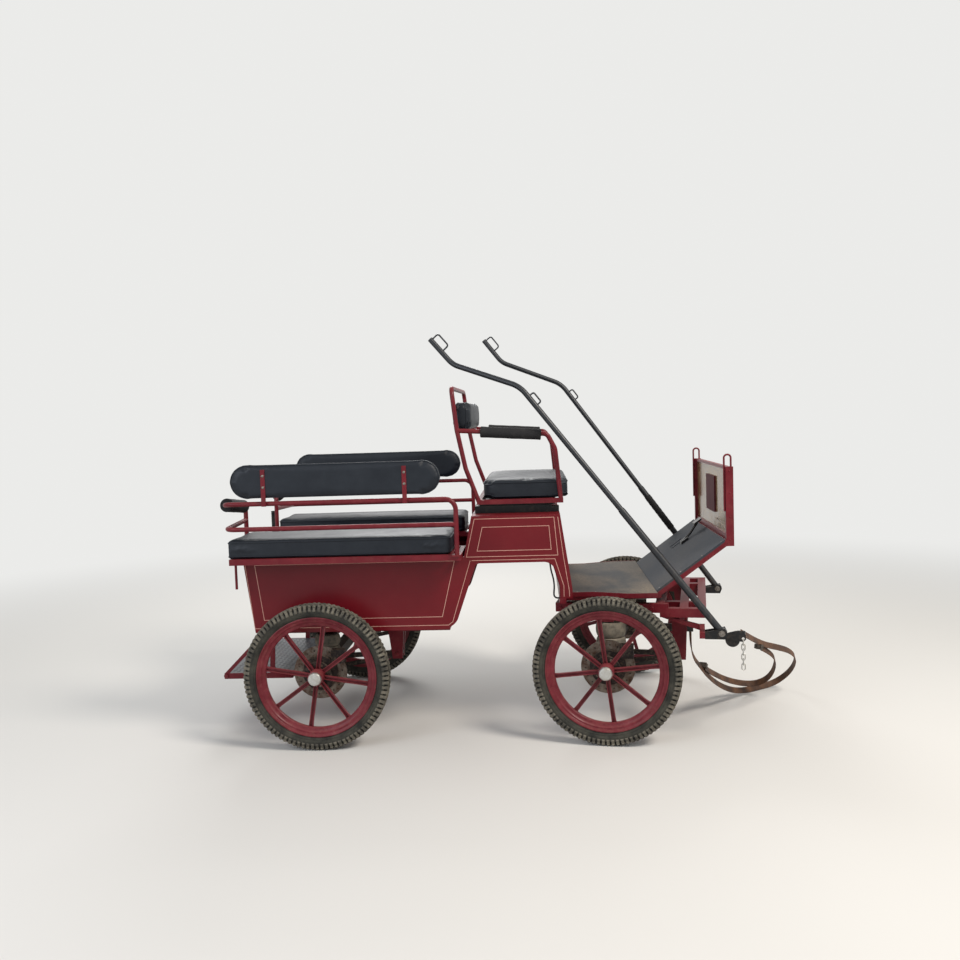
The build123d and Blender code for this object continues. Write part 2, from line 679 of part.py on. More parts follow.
bogie["bogie_frame"] = [joined(*rails, *crosses, centre_cross, bolster, boss,
                               *both(pivot_cheeks(front_pivot_x, front_pivot_z, low_z + 4)))
                        - Pos(0, 0, bogie_top_z) * kingpin_hole, ]
bogie["turntable_ring"] = [lower_ring]
bogie["front_axle"] = [axle()]
bogie["front_arms"] = both(trailing_arm(front_pivot_x, front_pivot_z))
bogie["front_bellows"] = both(bellows(0, 300 + 70, wheel_radius + beam_size / 2, 524, 72.0))


fork_outer = shaft_pivot_half + fork_gap + fork_cheek
fork_rear_x = shaft_pivot_x - 74.0
arm_low_z = shaft_pivot_z - 24.0
arm_high_z = shaft_pivot_z + 2.0


def shaft_arm():
    """Arm and short beam that hold one fork in front of the bogie's rail."""
    y0, y1 = bogie_rail_half - 30, bogie_rail_half - 10
    arm = plate([(bogie_lap_x + 21, low_z), (bogie_lap_x + 61, low_z), (fork_rear_x - 18, arm_high_z),
                 (fork_rear_x - 18, arm_low_z)], y0, y1)
    beam = block(fork_rear_x - 24, fork_rear_x, y0 - 10, fork_outer, arm_low_z, arm_high_z)
    hanger = block(bogie_front_x - 122, bogie_front_x - 102, y0, y1, low_z - 22, low_z)
    return joined(arm, beam, hanger)


def shaft_fork():
    """Two cheeks, their bridge and the pin that one shaft's eye turns on."""
    cheeks = []
    for side in (-1, 1):
        face = shaft_pivot_half + side * fork_gap
        cheeks.append(plate([(fork_rear_x, shaft_pivot_z - 26), (shaft_pivot_x + 14, shaft_pivot_z - 26),
                             (shaft_pivot_x + fork_nose, shaft_pivot_z), (shaft_pivot_x + 14, shaft_pivot_z + 22),
                             (fork_rear_x, shaft_pivot_z + 6)], face, face + side * fork_cheek))
    bridge = block(fork_rear_x, fork_rear_x + 30, shaft_pivot_half - fork_gap - fork_cheek, fork_outer,
                   shaft_pivot_z - 26, shaft_pivot_z + 2)
    pin = cross_pin(shaft_pivot_x, shaft_pivot_z, shaft_pivot_half - fork_gap - 14, shaft_pivot_half + fork_gap + 14,
                    shaft_pin_radius)
    return joined(*cheeks, bridge, pin)


def on_bogie(x, y, z):
    """Point of the straight bogie as it lies once the bogie is turned."""
    turn = radians(parked_steer)
    return Vector(wheelbase + x * cos(turn) + y * sin(turn), -x * sin(turn) + y * cos(turn), z)


# Straps that hang under the right shaft's foot, measured from the rear axle on the turned bogie
strap_radius = 10.0
strap_gap = 0.7
clip_x, clip_y, clip_z = 372.0, -388.0, 478.0
clasp_x, clasp_y, clasp_z = 600.0, -513.0, 503.0
strap_route = [on_bogie(clip_x, clip_y, clip_z), on_bogie(clip_x, clip_y, clip_z - 68)]
strap_route += [Vector(*point) for point in [
    (1753, -421, 345), (1795, -355, 285), (1847, -250, 210), (1926, -120, 125), (2018, 20, 55), (2108, 130, 19),
    (2198, 210, 12), (2278, 248, 22), (2338, 232, 64), (2366, 155, 135), (2352, 40, 219), (2290, -70, 282),
    (2206, -180, 327), (2117, -290, 368), (2040, -400, 421), (1984, -500, 466)]]
strap_route += [on_bogie(clasp_x, clasp_y, clasp_z)]


def cord_radii(name, points):
    """Bend radii of a cord's tube, as large as its runs allow."""
    runs = [(b - a).length for a, b in zip(points, points[1:])]
    radii = []
    for i in range(1, len(points) - 1):
        turn = (points[i] - points[i - 1]).get_angle(points[i + 1] - points[i])
        radii.append(0.45 * min(runs[i - 1], runs[i]) / tan(radians(turn) / 2))
    print(name, "radii", [round(r) for r in radii])
    return radii


def cord(name, points, radius):
    path = FilletPolyline(*points, radius=cord_radii(name, points))
    made = sweep(Plane(origin=path @ 0, z_dir=path % 0) * Circle(radius), path=path)
    print(name, "length", round(path.length), "volume over section", round(made.volume / (pi * radius ** 2)))
    return made


def keeper(index, share, above):
    """Buckle on a run of the strap: its block, and where the second strap's end meets it."""
    a, b = strap_route[index], strap_route[index + 1]
    run = (b - a).normalized()
    upright = (Vector(0, 0, 1) - run * run.Z).normalized()
    offset = strap_radius + strap_gap + keeper_half
    centre = a + (b - a) * share + upright * (offset if above else -offset)
    frame = Plane(origin=centre, x_dir=upright, z_dir=run)
    return frame * Box(2 * keeper_half, keeper_width, keeper_length), centre, run


keeper_half = 11.0
keeper_width = 34.0
keeper_length = 30.0
upper_keeper, upper_centre, upper_run = keeper(15, 0.5, False)
lower_keeper, lower_centre, lower_run = keeper(3, 0.35, True)
upper_end = upper_centre - upper_run * (keeper_length / 2)
lower_end = lower_centre + lower_run * (keeper_length / 2)
second_route = [upper_end, upper_end - upper_run * 62] + [Vector(*point) for point in [
    (2168, -205, 300), (2203, -130, 258), (2220, -55, 200), (2218, 12, 140), (2195, 65, 92), (2150, 98, 66),
    (2092, 95, 69), (2030, 50, 93), (1965, -25, 132), (1910, -115, 178)]] + [lower_end + lower_run * 55, lower_end]

# Plate, stop and chain at the right fork's inner cheek, on the straight bogie
stop_plate = 5.0
stop_radius = 32.0
stop_width = 30.0
chain_wire = 5.0
link_length = 34.0
link_width = 20.0
link_count = 6
chain_gap = 0.3
eye_radius = 6.0
eye_x, eye_z = 606.0, 479.0
cheek_face = -(shaft_pivot_half - fork_gap - fork_cheek)
tongue = plate([(485, 489), (485, 500), (530, 502), (575, 514), (606, 514), (617, 496), (619, 476), (606, 464),
                (560, 470), (530, 484)], cheek_face, cheek_face + stop_plate)
tongue = tongue - cross_pin(eye_x, eye_z, cheek_face - 1, cheek_face + stop_plate + 1, eye_radius)
stop_profile = [(0, 0), (stop_radius - 3, 0), (stop_radius, 4), (stop_radius, stop_width - 6),
                (stop_radius - 6, stop_width), (14, stop_width), (12, stop_width - 4), (0, stop_width - 4)]
stop_face = make_face(Polyline(*[(r, y, 0) for r, y in stop_profile], close=True))
stop = Pos(560, cheek_face + stop_plate, 470) * revolve(stop_face, Axis.Y)


def link(index):
    """Flat-sided chain link; every second one is turned a quarter."""
    reach = link_length / 2
    bend = link_width / 2 - chain_wire
    rise = bend - sqrt(bend ** 2 - (chain_wire / 2) ** 2)
    pitch = link_length - 2 * chain_wire - chain_gap - 2 * rise
    top = eye_z - sqrt(eye_radius ** 2 - (chain_wire / 2) ** 2) + chain_gap + rise
    z = top - (reach - chain_wire) - pitch * index
    ring = SlotOverall(link_length, link_width)
    ring = ring - SlotOverall(link_length - 2 * chain_wire, link_width - 2 * chain_wire)
    across = index % 2 == 0
    y = cheek_face + stop_plate / 2
    plane = Plane(origin=(eye_x, y, z), x_dir=(0, 0, 1), z_dir=(1, 0, 0) if across else (0, 1, 0))
    return extrude(plane * ring, amount=chain_wire / 2, both=True)


bogie["shaft_arms"] = both(shaft_arm())
bogie["shaft_forks"] = both(shaft_fork())
bogie["strap_stop"] = [joined(tongue, stop)]
bogie["strap_chain"] = [link(i) for i in range(link_count)]
clip = block(clip_x - 14, clip_x + 14, -(bogie_rail_half - 30), clip_y + 12, clip_z, clip_z + 34)
bogie["strap_clip"] = [clip]
clasp_run = (strap_route[-1] - strap_route[-2]).normalized()
clasp = Plane(origin=strap_route[-1] + clasp_run * 6, x_dir=Vector(-clasp_run.Y, clasp_run.X, 0).normalized(),
              z_dir=clasp_run) * Box(34, 16, 12)
keep("strap_keepers", upper_keeper, lower_keeper)
keep("strap_outer", cord("strap_outer", strap_route, strap_radius))
keep("strap_inner", cord("strap_inner", second_route, strap_radius))

# Brake hose behind the riser, from the driver's box down to the platform's frame
hose_radius = 4.0
hose_y = -450.0
hose_turn_z = riser_bend_z - 47.0
hose_route = [(arch_front_x - 12, box_bottom_z), (arch_front_x - 12, box_bottom_z - 43), (arch_front_x - 5, 744),
              (arch_front_x - 2, 706), (arch_front_x - 4, hose_turn_z), (arch_front_x + 3, hose_turn_z - 12.1),
              (arch_front_x + 15.1, hose_turn_z - 19.1), (riser_back_x - 4, hose_turn_z - 19.1)]
keep("brake_hose", cord("brake_hose", [Vector(x, hose_y, z) for x, z in hose_route], hose_radius))

# Shafts: a thick sleeve at the foot, a bent tube above it and a wire loop at the tip
# columns: x and z from the pivot, and the distance from the middle of the carriage
shaft_route = [(0.0, 0.0, 555.0), (-894.0, 1134.0, 518.0), (-1228.0, 1253.0, 460.0), (-1335.0, 1378.0, 463.0)]
foot_angle = atan2(shaft_route[1][1], shaft_route[1][0])


def shaft(side):
    pivot = Vector(shaft_pivot_x, 0, shaft_pivot_z)
    points = [Vector(shaft_pivot_x + x, side * y, shaft_pivot_z + z) for x, z, y in shaft_route]
    run = (points[1] - points[0]).normalized()
    start = points[0] + run * (shaft_eye_radius - 4)
    tip_run = (points[3] - points[2]).normalized()
    path_tube = tube([start, points[1], points[2], points[3]], (150.0, 110.0), shaft_radius)
    foot = rod(tuple(start), tuple(points[0] + run * shaft_sleeve_length), shaft_sleeve_radius)
    eye = cross_pin(shaft_pivot_x, shaft_pivot_z, side * shaft_pivot_half - shaft_eye_width / 2,
                    side * shaft_pivot_half + shaft_eye_width / 2, shaft_eye_radius)
    hole = cross_pin(shaft_pivot_x, shaft_pivot_z, side * shaft_pivot_half - 40, side * shaft_pivot_half + 40,
                     shaft_pin_radius + pin_clearance)
    lift = Vector(-tip_run.Z, 0, tip_run.X) * -1
    a = points[3] - tip_run * 8
    b = points[3] - tip_run * 84
    loop = tube([a, a + lift * 46, b + lift * 46, b], (12.0, 12.0), 4.0)
    pieces = [path_tube, foot, eye, loop]
    if side > 0:
        pieces.append(rod(tuple(points[0] + run * wrap_start), tuple(points[0] + run * wrap_end), wrap_radius))
    return joined(*pieces) - hole


bogie["shaft_right"] = [shaft(-1)]
turned_forward = Pos(shaft_pivot_x, 0, shaft_pivot_z) * Rot(0, left_shaft_forward, 0) * Pos(-shaft_pivot_x, 0,
                                                                                      -shaft_pivot_z)
bogie["shaft_left"] = [turned_forward * shaft(1)]


# Wheels: tyre, and the rim, spokes, hub, cap and brake disc as one welded wheel
def faceted_ring(profile, sides):
    """Ring round Y with straight facets: its section is a list of (radius, y), met at the middle of each facet."""
    step = 2 * pi / sides
    rim = [[(r / cos(step / 2) * sin(step * (i + 0.5)), y, r / cos(step / 2) * cos(step * (i + 0.5)))
            for r, y in profile] for i in range(sides)]
    faces = []
    for i in range(sides):
        here, there = rim[i - 1], rim[i]
        for j in range(len(profile)):
            faces.append(Face(Wire.make_polygon([here[j - 1], here[j], there[j], there[j - 1]], close=True)))
    return Solid(Shell(faces))


def tyre():
    half = tyre_width / 2
    wall = rim_flange_radius + 1
    profile = [(tyre_bead_radius, -20), (tyre_bead_radius, 20), (wall, 20.6), (wheel_radius - 29, half),
               (wheel_radius, 20), (wheel_radius, -20), (wheel_radius - 29, -half), (wall, -20.6)]
    return faceted_ring(profile, ring_sides)


def wheel(outward, first_spoke):
    """Wheel about the origin, its axle along Y; outward is the sign of its outer side."""
    half = rim_width / 2
    bead = tyre_bead_radius - bead_gap
    rim_profile = [(rim_inner_radius, -16), (rim_inner_radius, 16), (rim_flange_radius, half),
                   (rim_flange_radius, half - 4), (bead, 21), (bead, -21), (rim_flange_radius, -half + 4),
                   (rim_flange_radius, -half)]
    rim = faceted_ring(rim_profile, ring_sides)
    inner_end = -(disc_inset + disc_thickness / 2 + 6)
    hub = cross_pin(0, 0, inner_end, hub_outer_length, hub_radius)
    cap = cross_pin(0, 0, hub_outer_length, hub_outer_length + hub_cap_length, hub_radius - 5)
    bore = cross_pin(0, 0, inner_end - 1, hub_outer_length - 2, stub_radius + pin_clearance)
    disc = cross_pin(0, 0, -disc_inset - disc_thickness / 2, -disc_inset + disc_thickness / 2, disc_radius)
    reach = rim_inner_radius - hub_radius + 8
    spoke = Box(spoke_width, spoke_depth, reach)
    groove = Pos(0, (spoke_depth - spoke_groove_depth) / 2, 0) * Box(spoke_groove, spoke_groove_depth, reach)
    spoke = Pos(0, 0, (hub_radius + rim_inner_radius) / 2) * (spoke - groove)
    spokes = [Rot(0, first_spoke + 360.0 / spoke_count * i, 0) * spoke for i in range(spoke_count)]
    whole = joined(hub, cap, disc, rim, *spokes) - bore
    return whole if outward > 0 else mirrored(whole)


# columns: name, carried by the bogie, side of the carriage, angle of its first spoke
wheel_table = [("rear_right", False, -1, 9.3), ("rear_left", False, 1, 21.0),
               ("front_right", True, -1, -7.0), ("front_left", True, 1, 30.0)]
for name, on_bogie, side, first_spoke in wheel_table:
    place = Pos(0, side * track / 2, wheel_radius)
    target = bogie if on_bogie else parts
    target["tyre_" + name] = (place * tyre()).solids()
    target["wheel_" + name] = (place * wheel(side, first_spoke)).solids()

turn_bogie = Pos(wheelbase, 0, 0) * Rot(0, 0, -parked_steer)
for name, shapes in bogie.items():
    keep(name, *[turn_bogie * shape for shape in shapes])
parts["strap_stop"] = joined(*parts["strap_stop"], clasp).solids()

# The middle of the whole box becomes X = 0; the ends are the rear step and the left shaft's fork
turned = radians(parked_steer)
front_end = wheelbase + (shaft_pivot_x + fork_nose) * cos(turned) + fork_outer * sin(turned)
rear_end = -520.0
middle_x = (front_end + rear_end) / 2

if __name__ == "__main__":
    os.makedirs("parts", exist_ok=True)
    everything = []
    for name, solids in parts.items():
        moved = [Pos(-middle_x, 0, 0) * solid for solid in solids]
        everything += moved
        shape = moved[0] if len(moved) == 1 else Compound(children=moved)
        export_step(shape, "parts/" + name + ".step")
    box = Compound(children=everything).bounding_box()
    print("nodes", len(parts), "middle x", round(middle_x, 3))
    print("box", [round(v, 2) for v in (*box.min, *box.max)])
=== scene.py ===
from math import atan2, cos, pi, radians, sin, tan

import bmesh
import bpy
from mathutils import Matrix, Vector
from mathutils.bvhtree import BVHTree


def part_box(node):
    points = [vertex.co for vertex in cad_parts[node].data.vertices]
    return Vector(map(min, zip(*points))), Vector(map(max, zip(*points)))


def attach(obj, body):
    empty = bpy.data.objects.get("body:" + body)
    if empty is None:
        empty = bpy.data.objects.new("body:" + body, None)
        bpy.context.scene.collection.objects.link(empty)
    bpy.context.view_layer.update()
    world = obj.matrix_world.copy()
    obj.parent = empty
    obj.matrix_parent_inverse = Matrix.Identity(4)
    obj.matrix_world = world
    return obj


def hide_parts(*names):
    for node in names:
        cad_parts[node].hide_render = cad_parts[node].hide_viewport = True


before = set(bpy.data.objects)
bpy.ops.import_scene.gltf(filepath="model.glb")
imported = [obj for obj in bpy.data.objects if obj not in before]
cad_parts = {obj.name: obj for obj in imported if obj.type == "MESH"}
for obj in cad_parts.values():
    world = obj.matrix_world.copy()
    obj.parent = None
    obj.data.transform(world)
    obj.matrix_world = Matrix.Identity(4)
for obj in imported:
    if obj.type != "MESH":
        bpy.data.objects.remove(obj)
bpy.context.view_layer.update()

axleShift = 0.77115  # metres from the middle of the box back to the rear axle
parkedSteer = radians(9.7)
wheelbase = 1.435


def place(x, y, z):  # millimetres counted from the rear axle, the middle and the ground
    return Vector((x / 1000 - axleShift, y / 1000, z / 1000))


def placeOnBogie(forward, left, z):  # the same from the steering axis, along the turned bogie
    x = wheelbase * 1000 + forward * cos(parkedSteer) + left * sin(parkedSteer)
    return place(x, left * cos(parkedSteer) - forward * sin(parkedSteer), z)


def linear(hexColour):  # sRGB hex to the linear values that sockets take
    values = [int(hexColour[i:i + 2], 16) / 255 for i in (1, 3, 5)]
    return [v / 12.92 if v <= 0.04045 else ((v + 0.055) / 1.055) ** 2.4 for v in values] + [1.0]


def feed(node, inputs):  # by name or in the sockets' order: values, hex colours, outputs or whole nodes
    if isinstance(inputs, dict):
        pairs = [(node.inputs[name], value) for name, value in inputs.items()]
    else:
        pairs = zip([socket for socket in node.inputs if socket.enabled], inputs)
    for socket, value in pairs:
        if isinstance(value, bpy.types.Node):
            value = next(output for output in value.outputs if output.enabled)
        if isinstance(value, bpy.types.NodeSocket):
            node.id_data.links.new(value, socket)
        else:
            socket.default_value = linear(value) if str(value).startswith("#") else value


def addNode(tree, kind, inputs=(), **settings):
    made = tree.nodes.new(kind)
    for name, value in settings.items():
        setattr(made, name, value)
    feed(made, inputs)
    return made


def startMaterial(name, **sockets):  # Principled shader with plain values on its own sockets
    material = bpy.data.materials.new(name)
    material.use_nodes = True
    shader = material.node_tree.nodes["Principled BSDF"]
    feed(shader, {socket.replace("_", " "): value for socket, value in sockets.items()})
    return material, material.node_tree, shader


def addObject(name, data):
    made = bpy.data.objects.new(name, data)
    bpy.context.collection.objects.link(made)
    return made


print("stage: camera, lights and floor")

view = {"eye": (0.2580, -4.9346, 1.5119), "yaw": 3.2773, "pitch": 3.7732, "roll": -1.8393, "lens": 35.985}
studio = {
    "floor": "#d9d7d2",
    "floorHalf": 40,
    "floorLevel": -0.0005,
    "sky": "#f4f6f8",
    "skyStrength": 0.55,
    "background": "#f4f4f2",
    "backgroundStrength": 0.92,
    "nearFloor": 3.0,
    "farFloor": 7.5,
    "aim": (0.1, 0, 0.7),
    # name, place, size in metres, watts, colour
    "lamps": [
        ("keyLamp", (3.6, -3.2, 5.2), 2.0, 300, "#fff7ee"),
        ("fillLamp", (-3.8, -4.6, 3.0), 3.2, 110, "#eaf1ff"),
        ("backLamp", (-1.0, 4.8, 4.2), 3.0, 150, "#ffffff"),
    ],
}


def makeCamera():
    data = bpy.data.cameras.new("photoCamera")
    data.sensor_width = 36.0
    data.lens = view["lens"]
    camera = addObject("photoCamera", data)
    turn = Matrix.Rotation(radians(view["yaw"]), 4, "Z")
    turn = turn @ Matrix.Rotation(radians(90 - view["pitch"]), 4, "X")
    turn = turn @ Matrix.Rotation(radians(view["roll"]), 4, "Z")
    camera.matrix_world = Matrix.Translation(view["eye"]) @ turn
    bpy.context.scene.camera = camera


def seenDirectly(tree):  # 1 where the eye meets the background, also by way of metal and glass
    path = addNode(tree, "ShaderNodeLightPath").outputs
    either = addNode(tree, "ShaderNodeMath", [path["Is Camera Ray"], path["Is Glossy Ray"]],
                     operation="MAXIMUM")
    return addNode(tree, "ShaderNodeMath", [either, path["Is Transmission Ray"]], operation="MAXIMUM")


def makeLights():
    world = bpy.data.worlds.new("paleRoom")
    bpy.context.scene.world = world
    world.use_nodes = True
    tree = world.node_tree
    tree.nodes.clear()
    sky = addNode(tree, "ShaderNodeBackground", {"Color": studio["sky"], "Strength": studio["skyStrength"]})
    pale = addNode(tree, "ShaderNodeBackground", {"Color": studio["background"],
                                                  "Strength": studio["backgroundStrength"]})
    mix = addNode(tree, "ShaderNodeMixShader", [seenDirectly(tree), sky, pale])
    addNode(tree, "ShaderNodeOutputWorld", {"Surface": mix})
    for name, spot, size, watts, colour in studio["lamps"]:
        lamp = bpy.data.lights.new(name, "AREA")
        lamp.shape = "DISK"
        lamp.size = size
        lamp.energy = watts
        lamp.color = linear(colour)[:3]
        holder = addObject(name, lamp)
        holder.location = spot
        aim = Vector(studio["aim"]) - Vector(spot)
        holder.rotation_euler = aim.to_track_quat("-Z", "Y").to_euler()


def makeFloor():
    half, level = studio["floorHalf"], studio["floorLevel"]
    mesh = bpy.data.meshes.new("studioFloor")
    mesh.from_pydata([(x * half, y * half, level) for x, y in ((-1, -1), (1, -1), (1, 1), (-1, 1))], [],
                     [(0, 1, 2, 3)])
    paper, tree, shader = startMaterial("paleFloorPaper", Base_Color=studio["floor"], Roughness=0.9)
    spot = addNode(tree, "ShaderNodeTexCoord").outputs["Object"]
    far = addNode(tree, "ShaderNodeVectorMath", [spot], operation="LENGTH")
    away = addNode(tree, "ShaderNodeMapRange", [far, studio["nearFloor"], studio["farFloor"]],
                   interpolation_type="SMOOTHSTEP")
    share = addNode(tree, "ShaderNodeMath", [away, seenDirectly(tree)], operation="MULTIPLY")
    pale = addNode(tree, "ShaderNodeEmission", {"Color": studio["background"],
                                                "Strength": studio["backgroundStrength"]})
    mix = addNode(tree, "ShaderNodeMixShader", [share, shader, pale])
    feed(tree.nodes["Material Output"], {"Surface": mix})
    mesh.materials.append(paper)
    addObject("studioFloor", mesh)


makeCamera()
makeLights()
makeFloor()
bpy.context.scene.view_settings.view_transform = "Standard"

print("stage: materials")


def mottling(tree, size, detail=3.0, rough=0.55, stretch=(1, 1, 1), distortion=0.0):
    # cloudy pattern on the object's own coordinates, its patches a given size in millimetres
    spot = addNode(tree, "ShaderNodeTexCoord").outputs["Object"]
    mapping = addNode(tree, "ShaderNodeMapping", {"Vector": spot, "Scale": stretch})
    return addNode(tree, "ShaderNodeTexNoise", {"Vector": mapping, "Scale": 1000.0 / size, "Detail": detail,
                                                "Roughness": rough, "Distortion": distortion})


def facingUp(tree):  # 1 on faces that look up, where dust settles and where enamel takes a painted highlight from above
    normal = addNode(tree, "ShaderNodeNewGeometry").outputs["Normal"]
    height = addNode(tree, "ShaderNodeSeparateXYZ", [normal]).outputs["Z"]
    return addNode(tree, "ShaderNodeMapRange", [height, 0.2, 0.95])


def coatOfPaint(name, paint, fadedAndLit, dust, rough, coat, fadeSize, peel, dustShare, chip=None):
    # sprayed enamel on steel: a slight orange peel, upper faces drawn lighter (sun fading together with a
    # painted highlight from above), road dust and a few chips
    material, tree, shader = startMaterial(name, Coat_Weight=coat, Coat_Roughness=0.15,
                                           Specular_IOR_Level=0.24)
    top = facingUp(tree)
    patches = addNode(tree, "ShaderNodeMapRange", [mottling(tree, fadeSize, 4.0, 0.6), 0.35, 0.72])
    # painted highlight: upward faces take the lighter colour as if lit from above, together with random
    # sun-faded patches
    fadeAndToplightShare = addNode(tree, "ShaderNodeMath", [top, patches], operation="MAXIMUM")
    fadeAndToplightShare = addNode(tree, "ShaderNodeMath", [fadeAndToplightShare, 0.55], operation="MULTIPLY", use_clamp=True)
    colour = addNode(tree, "ShaderNodeMix", [fadeAndToplightShare, paint, fadedAndLit], data_type="RGBA")
    grime = mottling(tree, fadeSize * 0.35, 6.0, 0.7)
    dirt = addNode(tree, "ShaderNodeMapRange", [grime, 0.48, 0.78, 0.0, dustShare])
    settled = addNode(tree, "ShaderNodeMath", [top, grime], operation="MULTIPLY", use_clamp=True)
    settled = addNode(tree, "ShaderNodeMath", [settled, dustShare], operation="MULTIPLY", use_clamp=True)
    laid = addNode(tree, "ShaderNodeMath", [dirt, settled], operation="ADD", use_clamp=True)
    colour = addNode(tree, "ShaderNodeMix", [laid, colour, dust], data_type="RGBA")
    if chip:
        bare = addNode(tree, "ShaderNodeMapRange", [mottling(tree, 9.0, 2.0, 0.5), 0.735, 0.755])
        colour = addNode(tree, "ShaderNodeMix", [bare, colour, chip], data_type="RGBA")
    uneven = addNode(tree, "ShaderNodeBump", {"Height": mottling(tree, peel, 2.0, 0.5), "Strength": 0.12,
                                              "Distance": 0.00025})
    dull = addNode(tree, "ShaderNodeMapRange", [laid, 0.0, 1.0, rough, 0.8])
    feed(shader, {"Base Color": colour, "Roughness": dull, "Normal": uneven})
    return material


def weathered(name, patch, spread, colours, grain, relief, rough=None, **sockets):
    # two colours in soft patches and a grain of its own; with rough, the second colour is the duller one
    material, tree, shader = startMaterial(name, **sockets)
    patches = mottling(tree, *patch)
    share = addNode(tree, "ShaderNodeMapRange", [patches, *spread])
    feed(shader, {"Base Color": addNode(tree, "ShaderNodeMix", [share, *colours], data_type="RGBA")})
    if rough:
        feed(shader, {"Roughness": addNode(tree, "ShaderNodeMapRange", [share, 0.0, 1.0, rough, 0.8])})
    strength, depth = relief
    height = mottling(tree, *grain) if grain else patches
    feed(shader, {"Normal": addNode(tree, "ShaderNodeBump", {"Height": height, "Strength": strength,
                                                             "Distance": depth / 1000})})
    return material


def tyreRubber(name, rubber, dusty):  # weathered rubber with a grey-brown bloom
    return weathered(name, (60.0, 5.0, 0.65), (0.35, 0.75), (rubber, dusty), (5.0, 3.0, 0.6), (0.35, 0.5),
                     Roughness=0.9, Specular_IOR_Level=0.3)


def rustySteel(name, bright, rust, metal, rough, size):  # bare or thinly plated steel with a bloom of rust
    return weathered(name, (size, 6.0, 0.7), (0.4, 0.68), (bright, rust), None, (0.25, 0.4), rough,
                     Metallic=metal)


def vinyl():  # coated upholstery cloth: a satin sheen; its 1.5 mm pebble grain is drawn at 3 mm to show
    material, tree, shader = startMaterial("blackUpholsteryVinyl", Specular_IOR_Level=0.32)
    dusting = mottling(tree, 160.0, 5.0, 0.65)
    share = addNode(tree, "ShaderNodeMapRange", [dusting, 0.42, 0.8])
    share = addNode(tree, "ShaderNodeMath", [share, 0.14], operation="MULTIPLY", use_clamp=True)
    spot = addNode(tree, "ShaderNodeTexCoord").outputs["Object"]
    pebble = addNode(tree, "ShaderNodeTexVoronoi", {"Vector": spot, "Scale": 1000.0 / 3.0, "Smoothness": 0.6},
                     feature="SMOOTH_F1")
    feed(shader, {
        # partly painted reflection: the black cloth is tinted blue for the sky that its faces reflect; the
        # grey is dust
        "Base Color": addNode(tree, "ShaderNodeMix", [share, "#0d141d", "#4a5158"], data_type="RGBA"),
        "Roughness": addNode(tree, "ShaderNodeMapRange", [dusting, 0.3, 0.8, 0.42, 0.58]),
        "Normal": addNode(tree, "ShaderNodeBump", {"Height": pebble, "Strength": 0.35, "Distance": 0.00035}),
    })
    return material


def blackTube():  # stoved black enamel on the shafts: glossy, with brown road dust towards the ground
    material, tree, shader = startMaterial("stovedBlackEnamel", Specular_IOR_Level=0.5)
    spot = addNode(tree, "ShaderNodeTexCoord").outputs["Object"]
    height = addNode(tree, "ShaderNodeSeparateXYZ", [spot]).outputs["Z"]
    low = addNode(tree, "ShaderNodeMapRange", [height, 1.1, 0.45])
    grime = mottling(tree, 22.0, 5.0, 0.7, (1, 1, 0.5))
    share = addNode(tree, "ShaderNodeMapRange", [grime, 0.45, 0.75])
    share = addNode(tree, "ShaderNodeMath", [share, low], operation="MULTIPLY", use_clamp=True)
    tint = addNode(tree, "ShaderNodeMath", [share, 0.45], operation="MULTIPLY", use_clamp=True)
    feed(shader, {
        "Base Color": addNode(tree, "ShaderNodeMix", [tint, "#10151b", "#5c5043"], data_type="RGBA"),
        "Roughness": addNode(tree, "ShaderNodeMapRange", [share, 0.0, 1.0, 0.42, 0.75]),
    })
    return material


def treadSheet(name, rubber, mudColour, muddy):  # worn rubber sheet with dried beige mud in patches
    material, tree, shader = startMaterial(name, Roughness=0.85)
    mud = mottling(tree, 420.0, 5.0, 0.6, (1, 0.6, 1), 0.3)
    specks = mottling(tree, 14.0, 5.0, 0.7)
    patch = addNode(tree, "ShaderNodeMapRange", [mud, 0.35, 0.65, 0.0, muddy])
    broken = addNode(tree, "ShaderNodeMapRange", [specks, 0.2, 0.7])
    patch = addNode(tree, "ShaderNodeMath", [patch, broken], operation="MULTIPLY", use_clamp=True)
    feed(shader, {
        "Base Color": addNode(tree, "ShaderNodeMix", [patch, rubber, mudColour], data_type="RGBA"),
        "Normal": addNode(tree, "ShaderNodeBump", {"Height": specks, "Strength": 0.4, "Distance": 0.0008}),
    })
    return material


def bellowsRubber():  # air spring rubber under a film of grey dust, thicker on top
    material, tree, shader = startMaterial("dustyBellowsRubber", Roughness=0.88)
    film = mottling(tree, 30.0, 5.0, 0.6)
    thin = addNode(tree, "ShaderNodeMapRange", [film, 0.4, 0.75, 0.1, 0.6])
    top = addNode(tree, "ShaderNodeMath", [facingUp(tree), 0.4], operation="MULTIPLY", use_clamp=True)
    share = addNode(tree, "ShaderNodeMath", [thin, top], operation="ADD", use_clamp=True)
    feed(shader, {
        "Base Color": addNode(tree, "ShaderNodeMix", [share, "#55514a", "#b8ad98"], data_type="RGBA"),
        "Normal": addNode(tree, "ShaderNodeBump", {"Height": film, "Strength": 0.2, "Distance": 0.0005}),
    })
    return material


def smokedSheet():  # tan-smoked acrylic sheet, hazed by fine scratches
    material, tree, shader = startMaterial("smokedAcrylic", Transmission_Weight=0.6, IOR=1.49)
    haze = mottling(tree, 90.0, 5.0, 0.65)
    share = addNode(tree, "ShaderNodeMapRange", [haze, 0.4, 0.75])
    feed(shader, {
        "Base Color": addNode(tree, "ShaderNodeMix", [share, "#8f7450", "#b39a72"], data_type="RGBA"),
        "Roughness": addNode(tree, "ShaderNodeMapRange", [haze, 0.3, 0.8, 0.1, 0.3]),
    })
    return material


